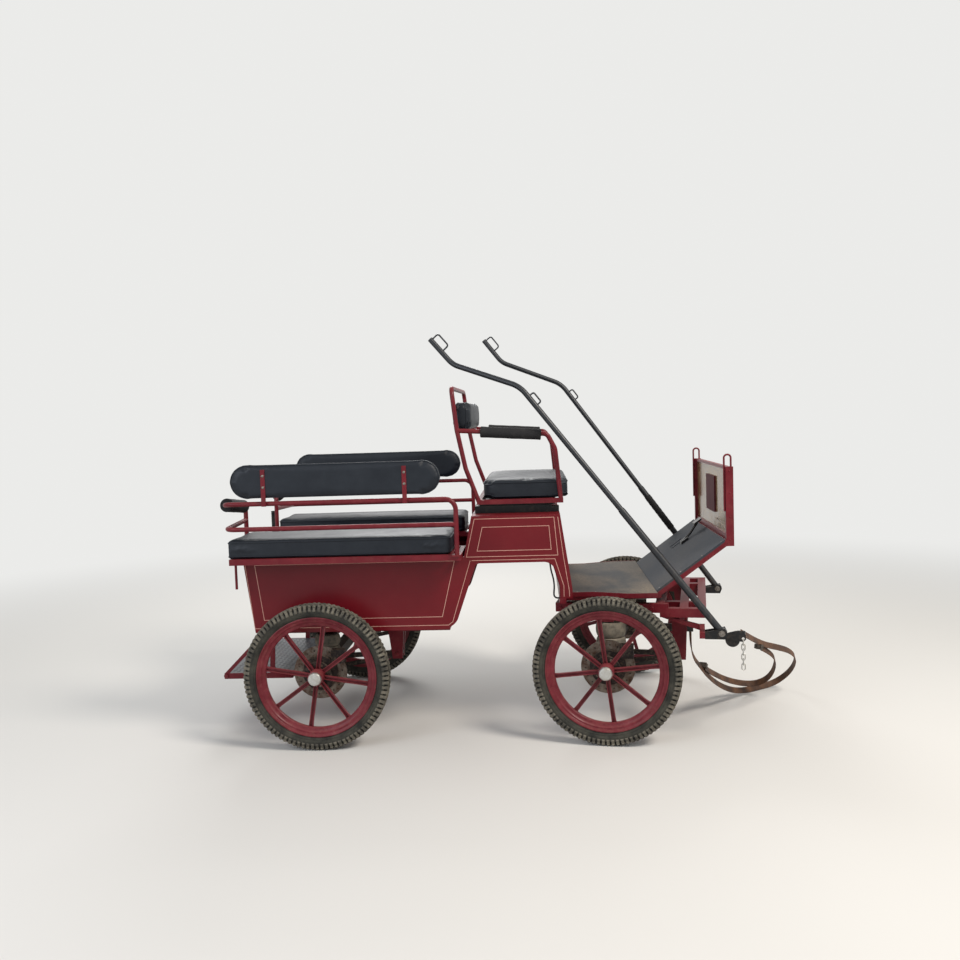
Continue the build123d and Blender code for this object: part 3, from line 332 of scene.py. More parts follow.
paints = {
    # name, paint, faded colour that is also the painted highlight on upward faces, dust, roughness, clear
    # coat, size of patches and orange peel, dust share, chips
    "panel": ("maroonBodyEnamel", "#5f0a15", "#72111c", "#7d5c4c", 0.36, 0.06, 340.0, 4.0, 0.04),
    "frame": ("fadedToplitRedEnamel", "#5c0c19", "#7d242d", "#94735f", 0.38, 0.05, 90.0, 5.0, 0.1, "#32191a"),
    "wheel": ("fadedToplitWheelEnamel", "#5a101c", "#8a3840", "#94735f", 0.4, 0.08, 60.0, 5.0, 0.16, "#3a1f1c"),
    "plate": ("dullMaroonPlate", "#3f0a14", "#561420", "#6a4c44", 0.7, 0.0, 60.0, 4.0, 0.1),
    "stripe": ("paleStripePaint", "#bd8d7f", "#cfa695", "#8a5a50", 0.4, 0.0, 30.0, 4.0, 0.25),
    "black": ("blackChassisPaint", "#121315", "#1d1f22", "#7a6a58", 0.38, 0.1, 80.0, 5.0, 0.22),
    # painted shade with a painted sky reflection: the step sheet's dark blue-grey
    "step": ("skyShadedStepPaint", "#2f3842", "#4a545f", "#8d7f6c", 0.35, 0.1, 90.0, 5.0, 0.25),
    "axle": ("dustyAxlePaint", "#1b1717", "#3a2f2b", "#8a7864", 0.6, 0.0, 40.0, 4.0, 0.5),
}
steels = {
    # name, bright, rusty, metallic, roughness where bright, size of the patches
    "disc": ("rustedBrakeDisc", "#756c62", "#4f3426", 0.7, 0.45, 26.0),
    "bolt": ("dullZincFastener", "#8f8d88", "#5b4636", 0.9, 0.4, 6.0),
    "cap": ("dulledChrome", "#c3c4c2", "#a39e92", 1.0, 0.3, 45.0),
    "buckle": ("tarnishedBuckle", "#5c5750", "#35271d", 0.8, 0.5, 8.0),
}
finish = {slot: coatOfPaint(*row) for slot, row in paints.items()}
finish.update({slot: rustySteel(*row) for slot, row in steels.items()})
finish.update({
    "vinyl": vinyl(),
    # closed-cell foam sleeve: matt and finely pitted
    "foam": weathered("closedCellFoam", (40.0, 4.0, 0.6), (0.5, 0.85, 0.0, 0.4), ("#0e0e10", "#3a3834"),
                      (3.0, 3.0, 0.6), (0.5, 0.4), Roughness=0.85),
    "shaft": blackTube(),
    "floor": treadSheet("dustyFloorSheet", "#3a3b3c", "#8a7b66", 0.95),
    "toe": treadSheet("cleanerToeSheet", "#262d36", "#6d6353", 0.35),
    "tyre": tyreRubber("weatheredSidewall", "#2a2a27", "#4e4c43"),
    # painted shade: near-black rubber for the carcass between the tread blocks
    "groove": tyreRubber("shadedTreadGroove", "#10100f", "#242320"),
    "block": tyreRubber("dustyTreadBlock", "#3d3b36", "#837d6f"),
    "bellows": bellowsRubber(),
    "window": smokedSheet(),
    # dry bridle leather: brown, cracked, and paler where the sun has dried it
    "strap": weathered("dryBridleLeather", (70.0, 5.0, 0.65), (0.35, 0.7), ("#2b1910", "#6a472d"),
                       (4.0, 4.0, 0.6), (0.5, 0.5), Roughness=0.72),
})
dressing = {  # the materials of the CAD nodes
    "panel": ["side_right", "side_left", "tub_front", "tub_rear", "rear_door", "driver_box"],
    "frame": ["chassis", "bench_frames", "rail_right", "rail_left", "seat_frame", "front_frame", "rein_hoops",
              "bogie_frame", "shaft_arms", "rear_step"],
    "plate": ["dash_plate"],
    "wheel": ["wheel_rear_right", "wheel_rear_left", "wheel_front_right", "wheel_front_left"],
    "vinyl": ["bench_cushion_right", "bench_cushion_left", "backrest_right", "backrest_left", "seat_cushion",
              "seat_back"],
    "foam": ["rear_arm_pads", "armrest_pads", "door_grip"],
    "shaft": ["shaft_right", "shaft_left"],
    "black": ["seat_base", "brake_pedal", "turntable_ring", "shaft_forks", "strap_stop", "strap_clip"],
    "axle": ["rear_arms", "front_arms", "rear_axle", "front_axle"],
    "floor": ["tub_floor", "platform_floor"],
    "toe": ["toe_board"],
    "buckle": ["strap_keepers"],
    "bellows": ["rear_bellows", "front_bellows"],
    "tyre": ["tyre_rear_right", "tyre_rear_left", "tyre_front_right", "tyre_front_left"],
    "window": ["dash_window"],
}
for slot, nodes in dressing.items():
    for node in nodes:
        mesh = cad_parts[node].data
        mesh.materials.clear()
        mesh.materials.append(finish[slot])

print("stage: shared tools")


def addPiece(name, mesh, body, nodes=(), crease=32.0):
    made = addObject(name, mesh)
    for face in mesh.polygons:
        face.use_smooth = True
    if crease:
        mesh.set_sharp_from_angle(angle=radians(crease))
    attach(made, body)
    if nodes:
        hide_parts(*nodes)
    return made


def meshOf(name, work, materials):  # writes the bmesh into a mesh and frees it
    mesh = bpy.data.meshes.new(name)
    work.to_mesh(mesh)
    work.free()
    for material in materials:
        mesh.materials.append(material)
    return mesh


def meshFrom(name, work, *materials):  # the same, with its doubles merged and its faces turned outwards
    bmesh.ops.remove_doubles(work, verts=work.verts, dist=0.00001)
    bmesh.ops.recalc_face_normals(work, faces=work.faces)
    return meshOf(name, work, materials)


def plainMesh(holder):  # what the object's modifiers make of it
    graph = bpy.context.evaluated_depsgraph_get()
    return bpy.data.meshes.new_from_object(holder.evaluated_get(graph))


def movedInto(work, matrix, fill):  # moves only what fill adds
    before = set(work.verts)
    fill()
    bmesh.ops.transform(work, matrix=matrix, verts=[v for v in work.verts if v not in before])


def circle(radius, across, steps):  # points round local Y
    turns = [2 * pi * i / steps for i in range(steps)]
    return [Vector((radius * sin(turn), across, radius * cos(turn))) for turn in turns]


def skin(work, rings, slot=0):  # faces from each ring of points to the next; a ring may repeat one point
    for low, high in zip(rings, rings[1:]):
        for i in range(len(low)):
            k = (i + 1) % len(low)
            corners = list(dict.fromkeys((low[i], low[k], high[k], high[i])))
            if len(corners) > 2:
                work.faces.new(corners).material_index = slot


def capEnds(work, rings, slot=0):
    work.faces.new(rings[0][::-1]).material_index = slot
    work.faces.new(rings[-1]).material_index = slot


def lathe(work, profile, steps, slot=0, closed=True):  # profile of (radius, across) turned about local Y
    rings = []
    for radius, across in profile:
        if radius < 1e-6:
            rings.append([work.verts.new((0, across, 0))] * steps)
        else:
            rings.append([work.verts.new(point) for point in circle(radius, across, steps)])
    skin(work, rings + (rings[:1] if closed else []), slot)


def boxInto(work, low, high, bevel=0.0):  # axis-aligned bar with softened edges
    made = bmesh.ops.create_cube(work, size=1.0)["verts"]
    middle = (Vector(low) + Vector(high)) / 2
    size = Vector(high) - Vector(low)
    for vertex in made:
        vertex.co = Vector([vertex.co[k] * size[k] for k in range(3)]) + middle
    if bevel:
        edges = {edge for vertex in made for edge in vertex.link_edges}
        bmesh.ops.bevel(work, geom=list(edges), offset=bevel, segments=2, affect="EDGES")


def tubeInto(work, points, radius, sides=10, slot=0, loop=False):  # round bar, mitred at its corners
    points = [Vector(p) for p in points]
    rings, upright = [], None
    for i, point in enumerate(points):
        before = points[i - 1] if i or loop else point
        after = points[(i + 1) % len(points)] if i < len(points) - 1 or loop else point
        run = (after - before).normalized()
        if upright is None:
            upright = run.orthogonal().normalized()
        upright = (upright - run * upright.dot(run)).normalized()
        side = run.cross(upright)
        turns = [2 * pi * k / sides for k in range(sides)]
        rings.append([work.verts.new(point + radius * (cos(turn) * upright + sin(turn) * side))
                      for turn in turns])
    if loop:  # the frame may have turned on its way round
        shift = min(range(sides), key=lambda k: (rings[-1][0].co - rings[0][k].co).length)
        rings.append(rings[0][shift:] + rings[0][:shift])
    skin(work, rings, slot)
    if not loop:
        capEnds(work, rings, slot)


def startTree(name, *inputs):  # Geometry Nodes tree with its named inputs
    tree = bpy.data.node_groups.new(name, "GeometryNodeTree")
    for label, kind in (*inputs, ("Piece", "Object"), ("Finish", "Material")):
        tree.interface.new_socket(label, in_out="INPUT", socket_type="NodeSocket" + kind)
    tree.interface.new_socket("Geometry", in_out="OUTPUT", socket_type="NodeSocketGeometry")
    return tree, addNode(tree, "NodeGroupInput").outputs


def endTree(tree, given, points, **placing):  # a copy of the piece on every point, made real and painted
    piece = addNode(tree, "GeometryNodeObjectInfo", {"Object": given["Piece"]}).outputs["Geometry"]
    copies = addNode(tree, "GeometryNodeInstanceOnPoints", {"Points": points, "Instance": piece, **placing})
    real = addNode(tree, "GeometryNodeRealizeInstances", [copies])
    painted = addNode(tree, "GeometryNodeSetMaterial", {"Geometry": real, "Material": given["Finish"]})
    addNode(tree, "NodeGroupOutput", [painted])
    return tree


def roundTree():  # copies of one piece in a circle about local Y
    tree, given = startTree("repeatRound", ("Count", "Int"), ("Radius", "Float"), ("Across", "Float"),
                            ("Start", "Float"), ("Lean", "Float"))
    index = addNode(tree, "GeometryNodeInputIndex")
    step = addNode(tree, "ShaderNodeMath", [2 * pi, given["Count"]], operation="DIVIDE")
    turn = addNode(tree, "ShaderNodeMath", [index, step, given["Start"]], operation="MULTIPLY_ADD")
    spot = []
    for operation in ("SINE", "COSINE"):
        wave = addNode(tree, "ShaderNodeMath", [turn], operation=operation)
        spot.append(addNode(tree, "ShaderNodeMath", [wave, given["Radius"]], operation="MULTIPLY"))
    spot = addNode(tree, "ShaderNodeCombineXYZ", [spot[0], given["Across"], spot[1]])
    points = addNode(tree, "GeometryNodePoints", {"Count": given["Count"], "Position": spot})
    angles = addNode(tree, "ShaderNodeCombineXYZ", [given["Lean"], turn])
    rotation = addNode(tree, "FunctionNodeEulerToRotation", [angles])
    return endTree(tree, given, points, Rotation=rotation)


def pointTree():  # a fastener on every point, its local Z along the point's own direction
    tree, given = startTree("fastenOnPoints", ("Geometry", "Geometry"), ("Seed", "Int"), ("Spin", "Float"))
    facing = addNode(tree, "GeometryNodeInputNamedAttribute", {"Name": "facing"}, data_type="FLOAT_VECTOR")
    along = addNode(tree, "GeometryNodeInputNamedAttribute", {"Name": "along"}, data_type="FLOAT_VECTOR")
    aim = addNode(tree, "FunctionNodeAlignRotationToVector", {"Vector": facing}, axis="Z")
    aim = addNode(tree, "FunctionNodeAlignRotationToVector", {"Rotation": aim, "Vector": along}, axis="X",
                  pivot_axis="Z")
    spin = addNode(tree, "FunctionNodeRandomValue", {"Max": 6.28, "Seed": given["Seed"]}, data_type="FLOAT")
    turn = addNode(tree, "ShaderNodeMath", [spin, given["Spin"]], operation="MULTIPLY")
    angles = addNode(tree, "ShaderNodeCombineXYZ", {"Z": turn})
    twist = addNode(tree, "FunctionNodeEulerToRotation", [angles])
    local = addNode(tree, "FunctionNodeRotateRotation", {"Rotation": aim, "Rotate By": twist},
                    rotation_space="LOCAL")
    return endTree(tree, given, given["Geometry"], Rotation=local)


trees = {"round": roundTree(), "points": pointTree()}
patterns = []


def runTree(name, tree, mesh, values):  # applies a tree to a mesh and gives back a plain mesh
    holder = addObject(name, mesh)
    modifier = holder.modifiers.new("repeat", "NODES")
    modifier.node_group = tree
    for item in tree.interface.items_tree:
        if item.item_type == "SOCKET" and item.in_out == "INPUT" and item.name in values:
            modifier[item.identifier] = values[item.name]
    made = plainMesh(holder)
    holder.modifiers.remove(modifier)
    bpy.data.objects.remove(holder)
    return made


def pattern(name, fill):  # small object that a tree copies; it is taken away again at the end
    work = bmesh.new()
    fill(work)
    made = addObject(name, meshFrom(name, work))
    made.hide_render = True
    patterns.append(made)
    return made


def ringOf(name, piece, material, count, radius=0.0, across=0.0, start=0.0, lean=0.0):  # millimetres, radians
    return runTree(name, trees["round"], bpy.data.meshes.new(name), {
        "Piece": piece, "Count": count, "Radius": radius / 1000, "Across": across / 1000, "Start": start,
        "Lean": lean, "Finish": finish[material]})


def merge(name, parts, matrix, *materials):  # one mesh from several, each with its own slot number
    work = bmesh.new()
    for mesh, slot in parts:
        before = len(work.faces)
        work.from_mesh(mesh)
        work.faces.ensure_lookup_table()
        if slot is not None:
            for face in work.faces[before:]:
                face.material_index = slot
    bmesh.ops.transform(work, matrix=matrix, verts=work.verts)
    return meshOf(name, work, materials)


print("stage: wheels and tyres")

wheelTable = [
    # name, on the bogie, side of the carriage, angle of the first spoke in degrees
    ("rear_right", False, -1, 9.3),
    ("rear_left", False, 1, 21.0),
    ("front_right", True, -1, -7.0),
    ("front_left", True, 1, 30.0),
]
tyreSize = {
    "track": 1240.0,
    "axleHeight": 340.0,
    "steps": 112,
    "tyreTurn": 3.7,  # how far a tyre's blocks are turned for each degree of its first spoke
    # radius and distance across, in millimetres, from one bead over the crown to the other
    "section": [(268.6, -19.6), (276, -20.2), (282, -21.5), (288, -27), (297, -33.5), (308, -36.5),
                (318, -35), (326, -30), (331, -22), (333.4, -11), (334, 0), (333.4, 11), (331, 22), (326, 30),
                (318, 35), (308, 36.5), (297, 33.5), (288, 27), (282, 21.5), (276, 20.2), (268.6, 19.6)],
    # moulded rings on both walls: radius and distance across
    "rings": [(291.0, 30.6), (303.0, 35.6)],
    "ringWire": 1.1,
    "treadFrom": 313.0,
    "blockCount": 92,
    # blocks: radius, across, lean in degrees, start as a share of one step, length, width and height
    "blocks": [
        (333.0, -8.0, 4, 0.0, 13.0, 14.0, 7.0),
        (333.0, 8.0, -4, 0.5, 13.0, 14.0, 7.0),
        (327.5, -25.5, 33, 0.5, 13.0, 15.0, 10.0),
        (327.5, 25.5, -33, 0.0, 13.0, 15.0, 10.0),
        (319.0, -33.4, 62, 0.5, 12.0, 21.0, 4.4),
        (319.0, 33.4, -62, 0.0, 12.0, 21.0, 4.4),
    ],
}


def treadBlock(length, width, height):  # tapered rubber block, its root sunk a little into the carcass
    def fill(work):
        rings = []
        for level, share in ((-1.5, 1.12), (height - 1.2, 0.94), (height, 0.78)):
            rings.append([work.verts.new((x * length / 2000 * share, y * width / 2000 * share, level / 1000))
                          for x, y in ((-1, -1), (1, -1), (1, 1), (-1, 1))])
        skin(work, rings)
        work.faces.new(rings[-1])
    return fill


def hexHead(radius, height):
    def fill(work):
        rings = []
        for level, share in ((0.0, 1.0), (height * 0.8, 1.0), (height, 0.86)):
            rings.append([work.verts.new((radius * share * cos(pi * i / 3), radius * share * sin(pi * i / 3),
                                          level)) for i in range(6)])
        skin(work, rings)
        work.faces.new(rings[-1])
    return fill


def wheelPlace(onBogie, side):
    left, height = side * tyreSize["track"] / 2, tyreSize["axleHeight"]
    if onBogie:
        return Matrix.Translation(placeOnBogie(0, left, height)) @ Matrix.Rotation(-parkedSteer, 4, "Z")
    return Matrix.Translation(place(0, left, height))


def tyreMesh():  # the carcass and its rows of blocks
    work = bmesh.new()
    lathe(work, [(r / 1000, y / 1000) for r, y in tyreSize["section"]], tyreSize["steps"])
    for radius, across in tyreSize["rings"]:
        for side in (1, -1):
            tubeInto(work, circle(radius / 1000, side * across / 1000, 96), tyreSize["ringWire"] / 1000, 5,
                     loop=True)
    for face in work.faces:  # painted shade: the carcass between the blocks is drawn darker than the wall
        spot = face.calc_center_median()
        face.material_index = int((spot.x ** 2 + spot.z ** 2) ** 0.5 > tyreSize["treadFrom"] / 1000)
    parts = [(meshFrom("tyreCarcass", work), None)]
    count = tyreSize["blockCount"]
    for radius, across, lean, start, length, width, height in tyreSize["blocks"]:
        block = pattern("treadBlock", treadBlock(length, width, height))
        row = ringOf("treadRow", block, "block", count, radius, across, start * 2 * pi / count, radians(lean))
        parts.append((row, 2))
    return parts


rimSize = {
    "steps": 96,
    # radius and distance across of the rolled steel rim, outer side positive
    "rim": [(238.0, -6), (238.0, 6), (241, 9.5), (250, 11.5), (256, 15), (259, 18.6), (267, 20.2),
            (271, 21.6), (273.5, 25.6), (277, 27), (280, 26.2), (280, 24.4), (270.5, 22.6), (267.7, 20.8),
            (262.5, 12), (261.5, 0), (262.5, -12), (267.7, -20.8), (270.5, -22.6), (280, -24.4),
            (280, -26.2), (277, -27), (273.5, -25.6), (271, -21.6), (267, -20.2), (259, -18.6), (256, -15),
            (250, -11.5), (241, -9.5)],
    "hub": [(0, -84), (30, -84), (34, -80), (34, -60), (36, -56), (36, 42), (33.5, 48), (30, 50), (0, 50)],
    "flange": [(36, -20), (62, -20), (64, -18), (64, -14), (62, -12), (36, -12)],
    "disc": [(84, -78), (125, -78), (125, -72), (84, -72)],
    "bell": [(38, -80), (80, -80), (84, -76), (84, -66), (80, -60), (38, -60)],
    "cap": [(29.5, 49.5), (31, 50), (31, 55), (30, 59), (27, 62.4), (22, 63.6), (8, 64), (0, 64)],
    # which of them are closed rings, and their slots: enamel, disc, cap, axle paint
    "turned": [("rim", True, 0), ("hub", False, 0), ("flange", True, 3), ("disc", True, 1), ("bell", True, 3),
               ("cap", False, 2)],
    "spokes": 8,
    "spokeWidth": 19.0,
    "spokeDepth": 14.0,
    "wall": 3.4,
    # distance from the hub and flare of the spoke, from its root to its weld on the rim
    "spokeLevels": [(32.0, 1.0), (44.0, 1.0), (215.0, 1.0), (232.0, 1.1), (241.5, 1.35)],
    # the disc's holes, drawn as dark marks of painted shade, and the hub's bolts: how many, radius, distance
    # across and start in radians
    "holeShades": (18, 104.0, -72.0, 0.1),
    "bolts": (5, 50.0, -12.0, 0.4),
}


def spokeShape(work):  # folded steel channel, open to the outer side, flared where it is welded to the rim
    half, deep = rimSize["spokeWidth"] / 2000, rimSize["spokeDepth"] / 2000
    wall = rimSize["wall"] / 1000
    section = [(-half, -deep), (half, -deep), (half, deep), (half - wall, deep), (half - wall, -deep + wall),
               (-half + wall, -deep + wall), (-half + wall, deep), (-half, deep)]
    rings = [[work.verts.new((x * grow, y, level / 1000)) for x, y in section]
             for level, grow in rimSize["spokeLevels"]]
    skin(work, rings)
    capEnds(work, rings)


def wheelMesh(firstSpoke):
    work = bmesh.new()
    for key, closed, slot in rimSize["turned"]:
        lathe(work, [(r / 1000, y / 1000) for r, y in rimSize[key]], rimSize["steps"], slot, closed)
    spokes = ringOf("wheelSpokes", spoke, "wheel", rimSize["spokes"], start=radians(firstSpoke))
    holeShades = ringOf("discHoles", discHole, "axle", *rimSize["holeShades"], -pi / 2)
    bolts = ringOf("wheelBolts", wheelBolt, "disc", *rimSize["bolts"], -pi / 2)
    return [(meshFrom("wheelTurned", work), None), (spokes, 0), (holeShades, 3), (bolts, 1)]


spoke = pattern("wheelSpoke", spokeShape)
# painted shade: each hole in the disc is a thin dark hexagon on its face, not a cut
discHole = pattern("discHole", hexHead(0.0045, 0.0004))
wheelBolt = pattern("wheelBolt", hexHead(0.0065, 0.006))
tyreParts = tyreMesh()
for name, onBogie, side, firstSpoke in wheelTable:
    stand = wheelPlace(onBogie, side)
    rolled = stand @ Matrix.Rotation(radians(firstSpoke * tyreSize["tyreTurn"]), 4, "Y")
    mesh = merge("tyre" + name, tyreParts, rolled, finish["tyre"], finish["groove"], finish["block"])
    addPiece("knobbyTyre_" + name, mesh, "wheel_" + name, ["tyre_" + name])
    outward = Matrix.Diagonal((1, side, 1, 1))
    mesh = merge("wheel" + name, wheelMesh(firstSpoke), stand @ outward, finish["wheel"], finish["disc"],
                 finish["cap"], finish["axle"])
    if side < 0:
        mesh.flip_normals()
    addPiece("spokedWheel_" + name, mesh, "wheel_" + name, ["wheel_" + name])

print("stage: cushions")

cushionTable = [
    # name, node, axis through its thickness, radius of corners and edges, crown, seams, how full
    ("benchCushionRight", "bench_cushion_right", 2, 20.0, 6.0, 4.0, (0.12, 0.88), 0.75),
    ("benchCushionLeft", "bench_cushion_left", 2, 20.0, 6.0, 4.0, (0.12, 0.88), 0.75),
    ("driverCushion", "seat_cushion", 2, 45.0, 16.0, 7.0, (0.12, 0.88), 0.75),
    ("driverBackPad", "seat_back", 0, 30.0, 14.0, 16.0, (0.2, 0.84), 0.75),
    ("backrestPadRight", "backrest_right", 1, 80.0, 9.0, 0.0, (0.12, 0.88), 0.7),
    ("backrestPadLeft", "backrest_left", 1, 80.0, 9.0, 0.0, (0.12, 0.88), 0.7),
]
padding = {
    "voxel": 0.0063,
    "inset": 0.0025,
    "cloth": {"quality": 4, "mass": 0.4, "tension_stiffness": 12, "compression_stiffness": 12,
              "shear_stiffness": 5, "bending_stiffness": 6, "use_pressure": True,
              "uniform_pressure_force": 4.0},
    "frames": 20,
    "cap": 0.006,
    "piping": 0.003,
    "pipingStep": 0.009,
    "pipingProud": 0.0006,
    "postCorner": (-383.0, 301.0),
    "notchRadius": 0.0065,
}


def roundedOutline(corners, radii, steps=8):  # closed outline with true arcs at its corners
    made = []
    for i, (corner, radius) in enumerate(zip(corners, radii)):
        corner = Vector(corner)
        a = (Vector(corners[i - 1]) - corner).normalized()
        b = (Vector(corners[(i + 1) % len(corners)]) - corner).normalized()
        half = a.angle(b) / 2
        centre = corner + (a + b).normalized() * (radius / sin(half))
        start, end = [corner + leg * (radius / tan(half)) - centre for leg in (a, b)]
        first = atan2(start.y, start.x)
        sweep = (atan2(end.y, end.x) - first + pi) % (2 * pi) - pi
        for k in range(steps + 1):
            turn = first + sweep * k / steps
            made.append(centre + radius * Vector((cos(turn), sin(turn))))
    return made


def padOutline(node, axis, corner, inset):  # outline across the pad's thickness, in the other two axes
    low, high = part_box(node)
    u, v = [k for k in range(3) if k != axis]
    a0, a1, b0, b1 = low[u] + inset, high[u] - inset, low[v] + inset, high[v] - inset
    radius = min(corner / 1000, (b1 - b0) / 2 - 0.0005, (a1 - a0) / 2 - 0.0005)
    if not node.startswith("bench_cushion"):
        return roundedOutline([(a0, b0), (a1, b0), (a1, b1), (a0, b1)], [radius] * 4)
    side = 1 if b0 > 0 else -1  # the benches' cushions are cut away round the rail's post
    inner, outer = sorted((abs(b0), abs(b1)))
    notch = place(*padding["postCorner"], 0)
    corners = [(notch.x, inner), (a1, inner), (a1, outer), (a0, outer), (a0, notch.y), (notch.x, notch.y)]
    tight = padding["notchRadius"]
    return roundedOutline([(x, y * side) for x, y in corners], [tight, radius, radius, tight, tight, tight])


def padPoint(axis, a, b, level):
    point = [a, b]
    point.insert(axis, level)
    return Vector(point)


def padShape(node, axis, corner, edge):
    inset = padding["inset"]
    low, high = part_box(node)
    outline = padOutline(node, axis, corner, inset)
    work = bmesh.new()
    ends = [[work.verts.new(padPoint(axis, a, b, level)) for a, b in outline]
            for level in (low[axis] + inset, high[axis] - inset)]
    work.faces.new(ends[0])
    work.faces.new(ends[1][::-1])
    skin(work, ends)
    level = [e for e in work.edges if abs(e.verts[0].co[axis] - e.verts[1].co[axis]) < 1e-6]
    bmesh.ops.bevel(work, geom=level, offset=edge / 1000, segments=4, affect="EDGES")
    return meshFrom(node + "Pad", work)


def swell(holder):  # air pressure rounds the pad, and no point moves further than the cap
    start = [v.co.copy() for v in holder.data.vertices]
    cloth = holder.modifiers.new("pressure", "CLOTH")
    for name, value in padding["cloth"].items():
        setattr(cloth.settings, name, value)
    cloth.settings.effector_weights.gravity = 0.0
    cloth.collision_settings.use_collision = False
    scene = bpy.context.scene
    for frameNumber in range(1, padding["frames"] + 1):
        scene.frame_set(frameNumber)
    graph = bpy.context.evaluated_depsgraph_get()
    moved = [v.co.copy() for v in holder.evaluated_get(graph).data.vertices]
    holder.modifiers.remove(cloth)
    scene.frame_set(1)
    for vertex, old, new in zip(holder.data.vertices, start, moved):
        step = new - old
        if step.length > padding["cap"]:
            step = step.normalized() * padding["cap"]
        vertex.co = old + step


def evenly(route, gap):  # the same closed route with its points a fixed distance apart
    made, carry, total = [route[0]], 0.0, 0.0
    for a, b in zip(route, route[1:] + route[:1]):
        length = (b - a).length
        while length > 1e-9 and carry + gap <= total + length:
            carry += gap
            made.append(a + (b - a) * ((carry - total) / length))
        total += length
    if (made[-1] - made[0]).length < gap * 0.6:
        made.pop()
    return made


def crowned(mesh, node, axis, crown):  # the middle of the face that a person meets stands proud of its edges
    low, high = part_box(node)
    for vertex in mesh.vertices:
        share = [2 * (vertex.co[k] - low[k]) / (high[k] - low[k]) - 1 for k in range(3)]
        depth = share.pop(axis)
        if depth > 0:
            middle = max(0, (1 - share[0] ** 2) * (1 - share[1] ** 2)) ** 0.5
            vertex.co[axis] += crown / 1000 * depth * middle
        vertex.co.z = max(vertex.co.z, low[2])  # it lies flat on its board


def cushion(name, node, axis, corner, edge, crown, seams, fill):
    holder = addObject(name, padShape(node, axis, corner, edge))
    remesh = holder.modifiers.new("evenMesh", "REMESH")
    remesh.mode = "VOXEL"
    remesh.voxel_size = padding["voxel"]
    holder.data = plainMesh(holder)
    holder.modifiers.remove(remesh)
    swell(holder)
    crowned(holder.data, node, axis, crown)
    finer = holder.modifiers.new("finer", "SUBSURF")
    finer.levels = finer.render_levels = 1
    work = bmesh.new()
    work.from_mesh(plainMesh(holder))
    bpy.data.objects.remove(holder)
    surface = BVHTree.FromBMesh(work)
    outline = padOutline(node, axis, corner, 0.0)
    low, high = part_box(node)
    for share in seams:  # piping sewn along the top and bottom seams
        level = low[axis] + (high[axis] - low[axis]) * share
        route = []
        for point in evenly([padPoint(axis, a, b, level) for a, b in outline], padding["pipingStep"]):
            spot, normal, index, distance = surface.find_nearest(point)
            route.append(spot + normal * padding["pipingProud"])
        tubeInto(work, route, padding["piping"], 8, loop=True)
    made = meshOf(name, work, [finish["vinyl"]])
    addPiece(name, made, "carriage", [node], crease=0)
    print("cushion", name, len(made.polygons))


for row in cushionTable:
    cushion(*row)

print("stage: foam rolls and grip")

foamRolls = [
    # name, node, ends in millimetres on the left side, radius
    ("rearArmRolls", "rear_arm_pads", (-402, 318, 1110.2), (-402, 572, 1139.5), 32.0),
    ("driverArmRolls", "armrest_pads", (779, 415, 1440.2), (1064, 415, 1420.0), 26.5),
]
rollShape = {"bore": 0.0105, "lip": 0.005, "round": 0.0015, "dent": 0.0006, "steps": 36, "sides": 28}
gripSize = {"x": -436.0, "y": 345.0, "low": 886.0, "high": 1020.0, "ribs": 15, "radius": 13.2, "rib": 1.9}


def rollInto(work, start, end, radius):  # foam sleeve with soft ends and shallow dents
    length = (end - start).length
    lip, soft, steps = rollShape["lip"], rollShape["round"], rollShape["steps"]
    profile = [(rollShape["bore"], 0.0), (radius - lip, 0.0), (radius - soft, soft), (radius, lip)]
    for k in range(1, steps):
        t = k / steps
        dent = rollShape["dent"] * (1 + sin(17 * t + radius * 900) * cos(6 * t))
        profile.append((radius - dent, lip + (length - 2 * lip) * t))
    profile += [(radius, length - lip), (radius - soft, length - soft), (radius - lip, length),
                (rollShape["bore"], length)]
    turn = Vector((0, 1, 0)).rotation_difference(end - start).to_matrix().to_4x4()
    movedInto(work, Matrix.Translation(start) @ turn, lambda: lathe(work, profile, rollShape["sides"]))


for name, node, start, end, radius in foamRolls:
    work = bmesh.new()
    for side in (-1, 1):
        ends = [place(x, side * y, z) for x, y, z in (start, end)]
        rollInto(work, *ends, radius / 1000)
    piece = addPiece(name, meshFrom(name, work, finish["foam"]), "carriage", [node])

work = bmesh.new()
for k in range(gripSize["ribs"]):
    z = gripSize["low"] + (gripSize["high"] - gripSize["low"]) * k / (gripSize["ribs"] - 1)
    ring = [place(gripSize["x"] + gripSize["radius"] * cos(2 * pi * i / 24),
                  gripSize["y"] + gripSize["radius"] * sin(2 * pi * i / 24), z) for i in range(24)]
    tubeInto(work, ring, gripSize["rib"] / 1000, 6, loop=True)
addPiece("gripRibs", meshFrom("gripRibs", work, finish["foam"]), "carriage")

print("stage: bellows")

bellowsTable = [
    # name, node, on the bogie, distance from the middle, radius
    ("rearBellows", "rear_bellows", False, 370.0, 62.0),
    ("frontBellows", "front_bellows", True, 370.0, 72.0),
]
bellowsShape = {"plate": 6.0, "fold": 14.0, "inset": 12.0, "foot": 4.0, "girdle": 4.0}


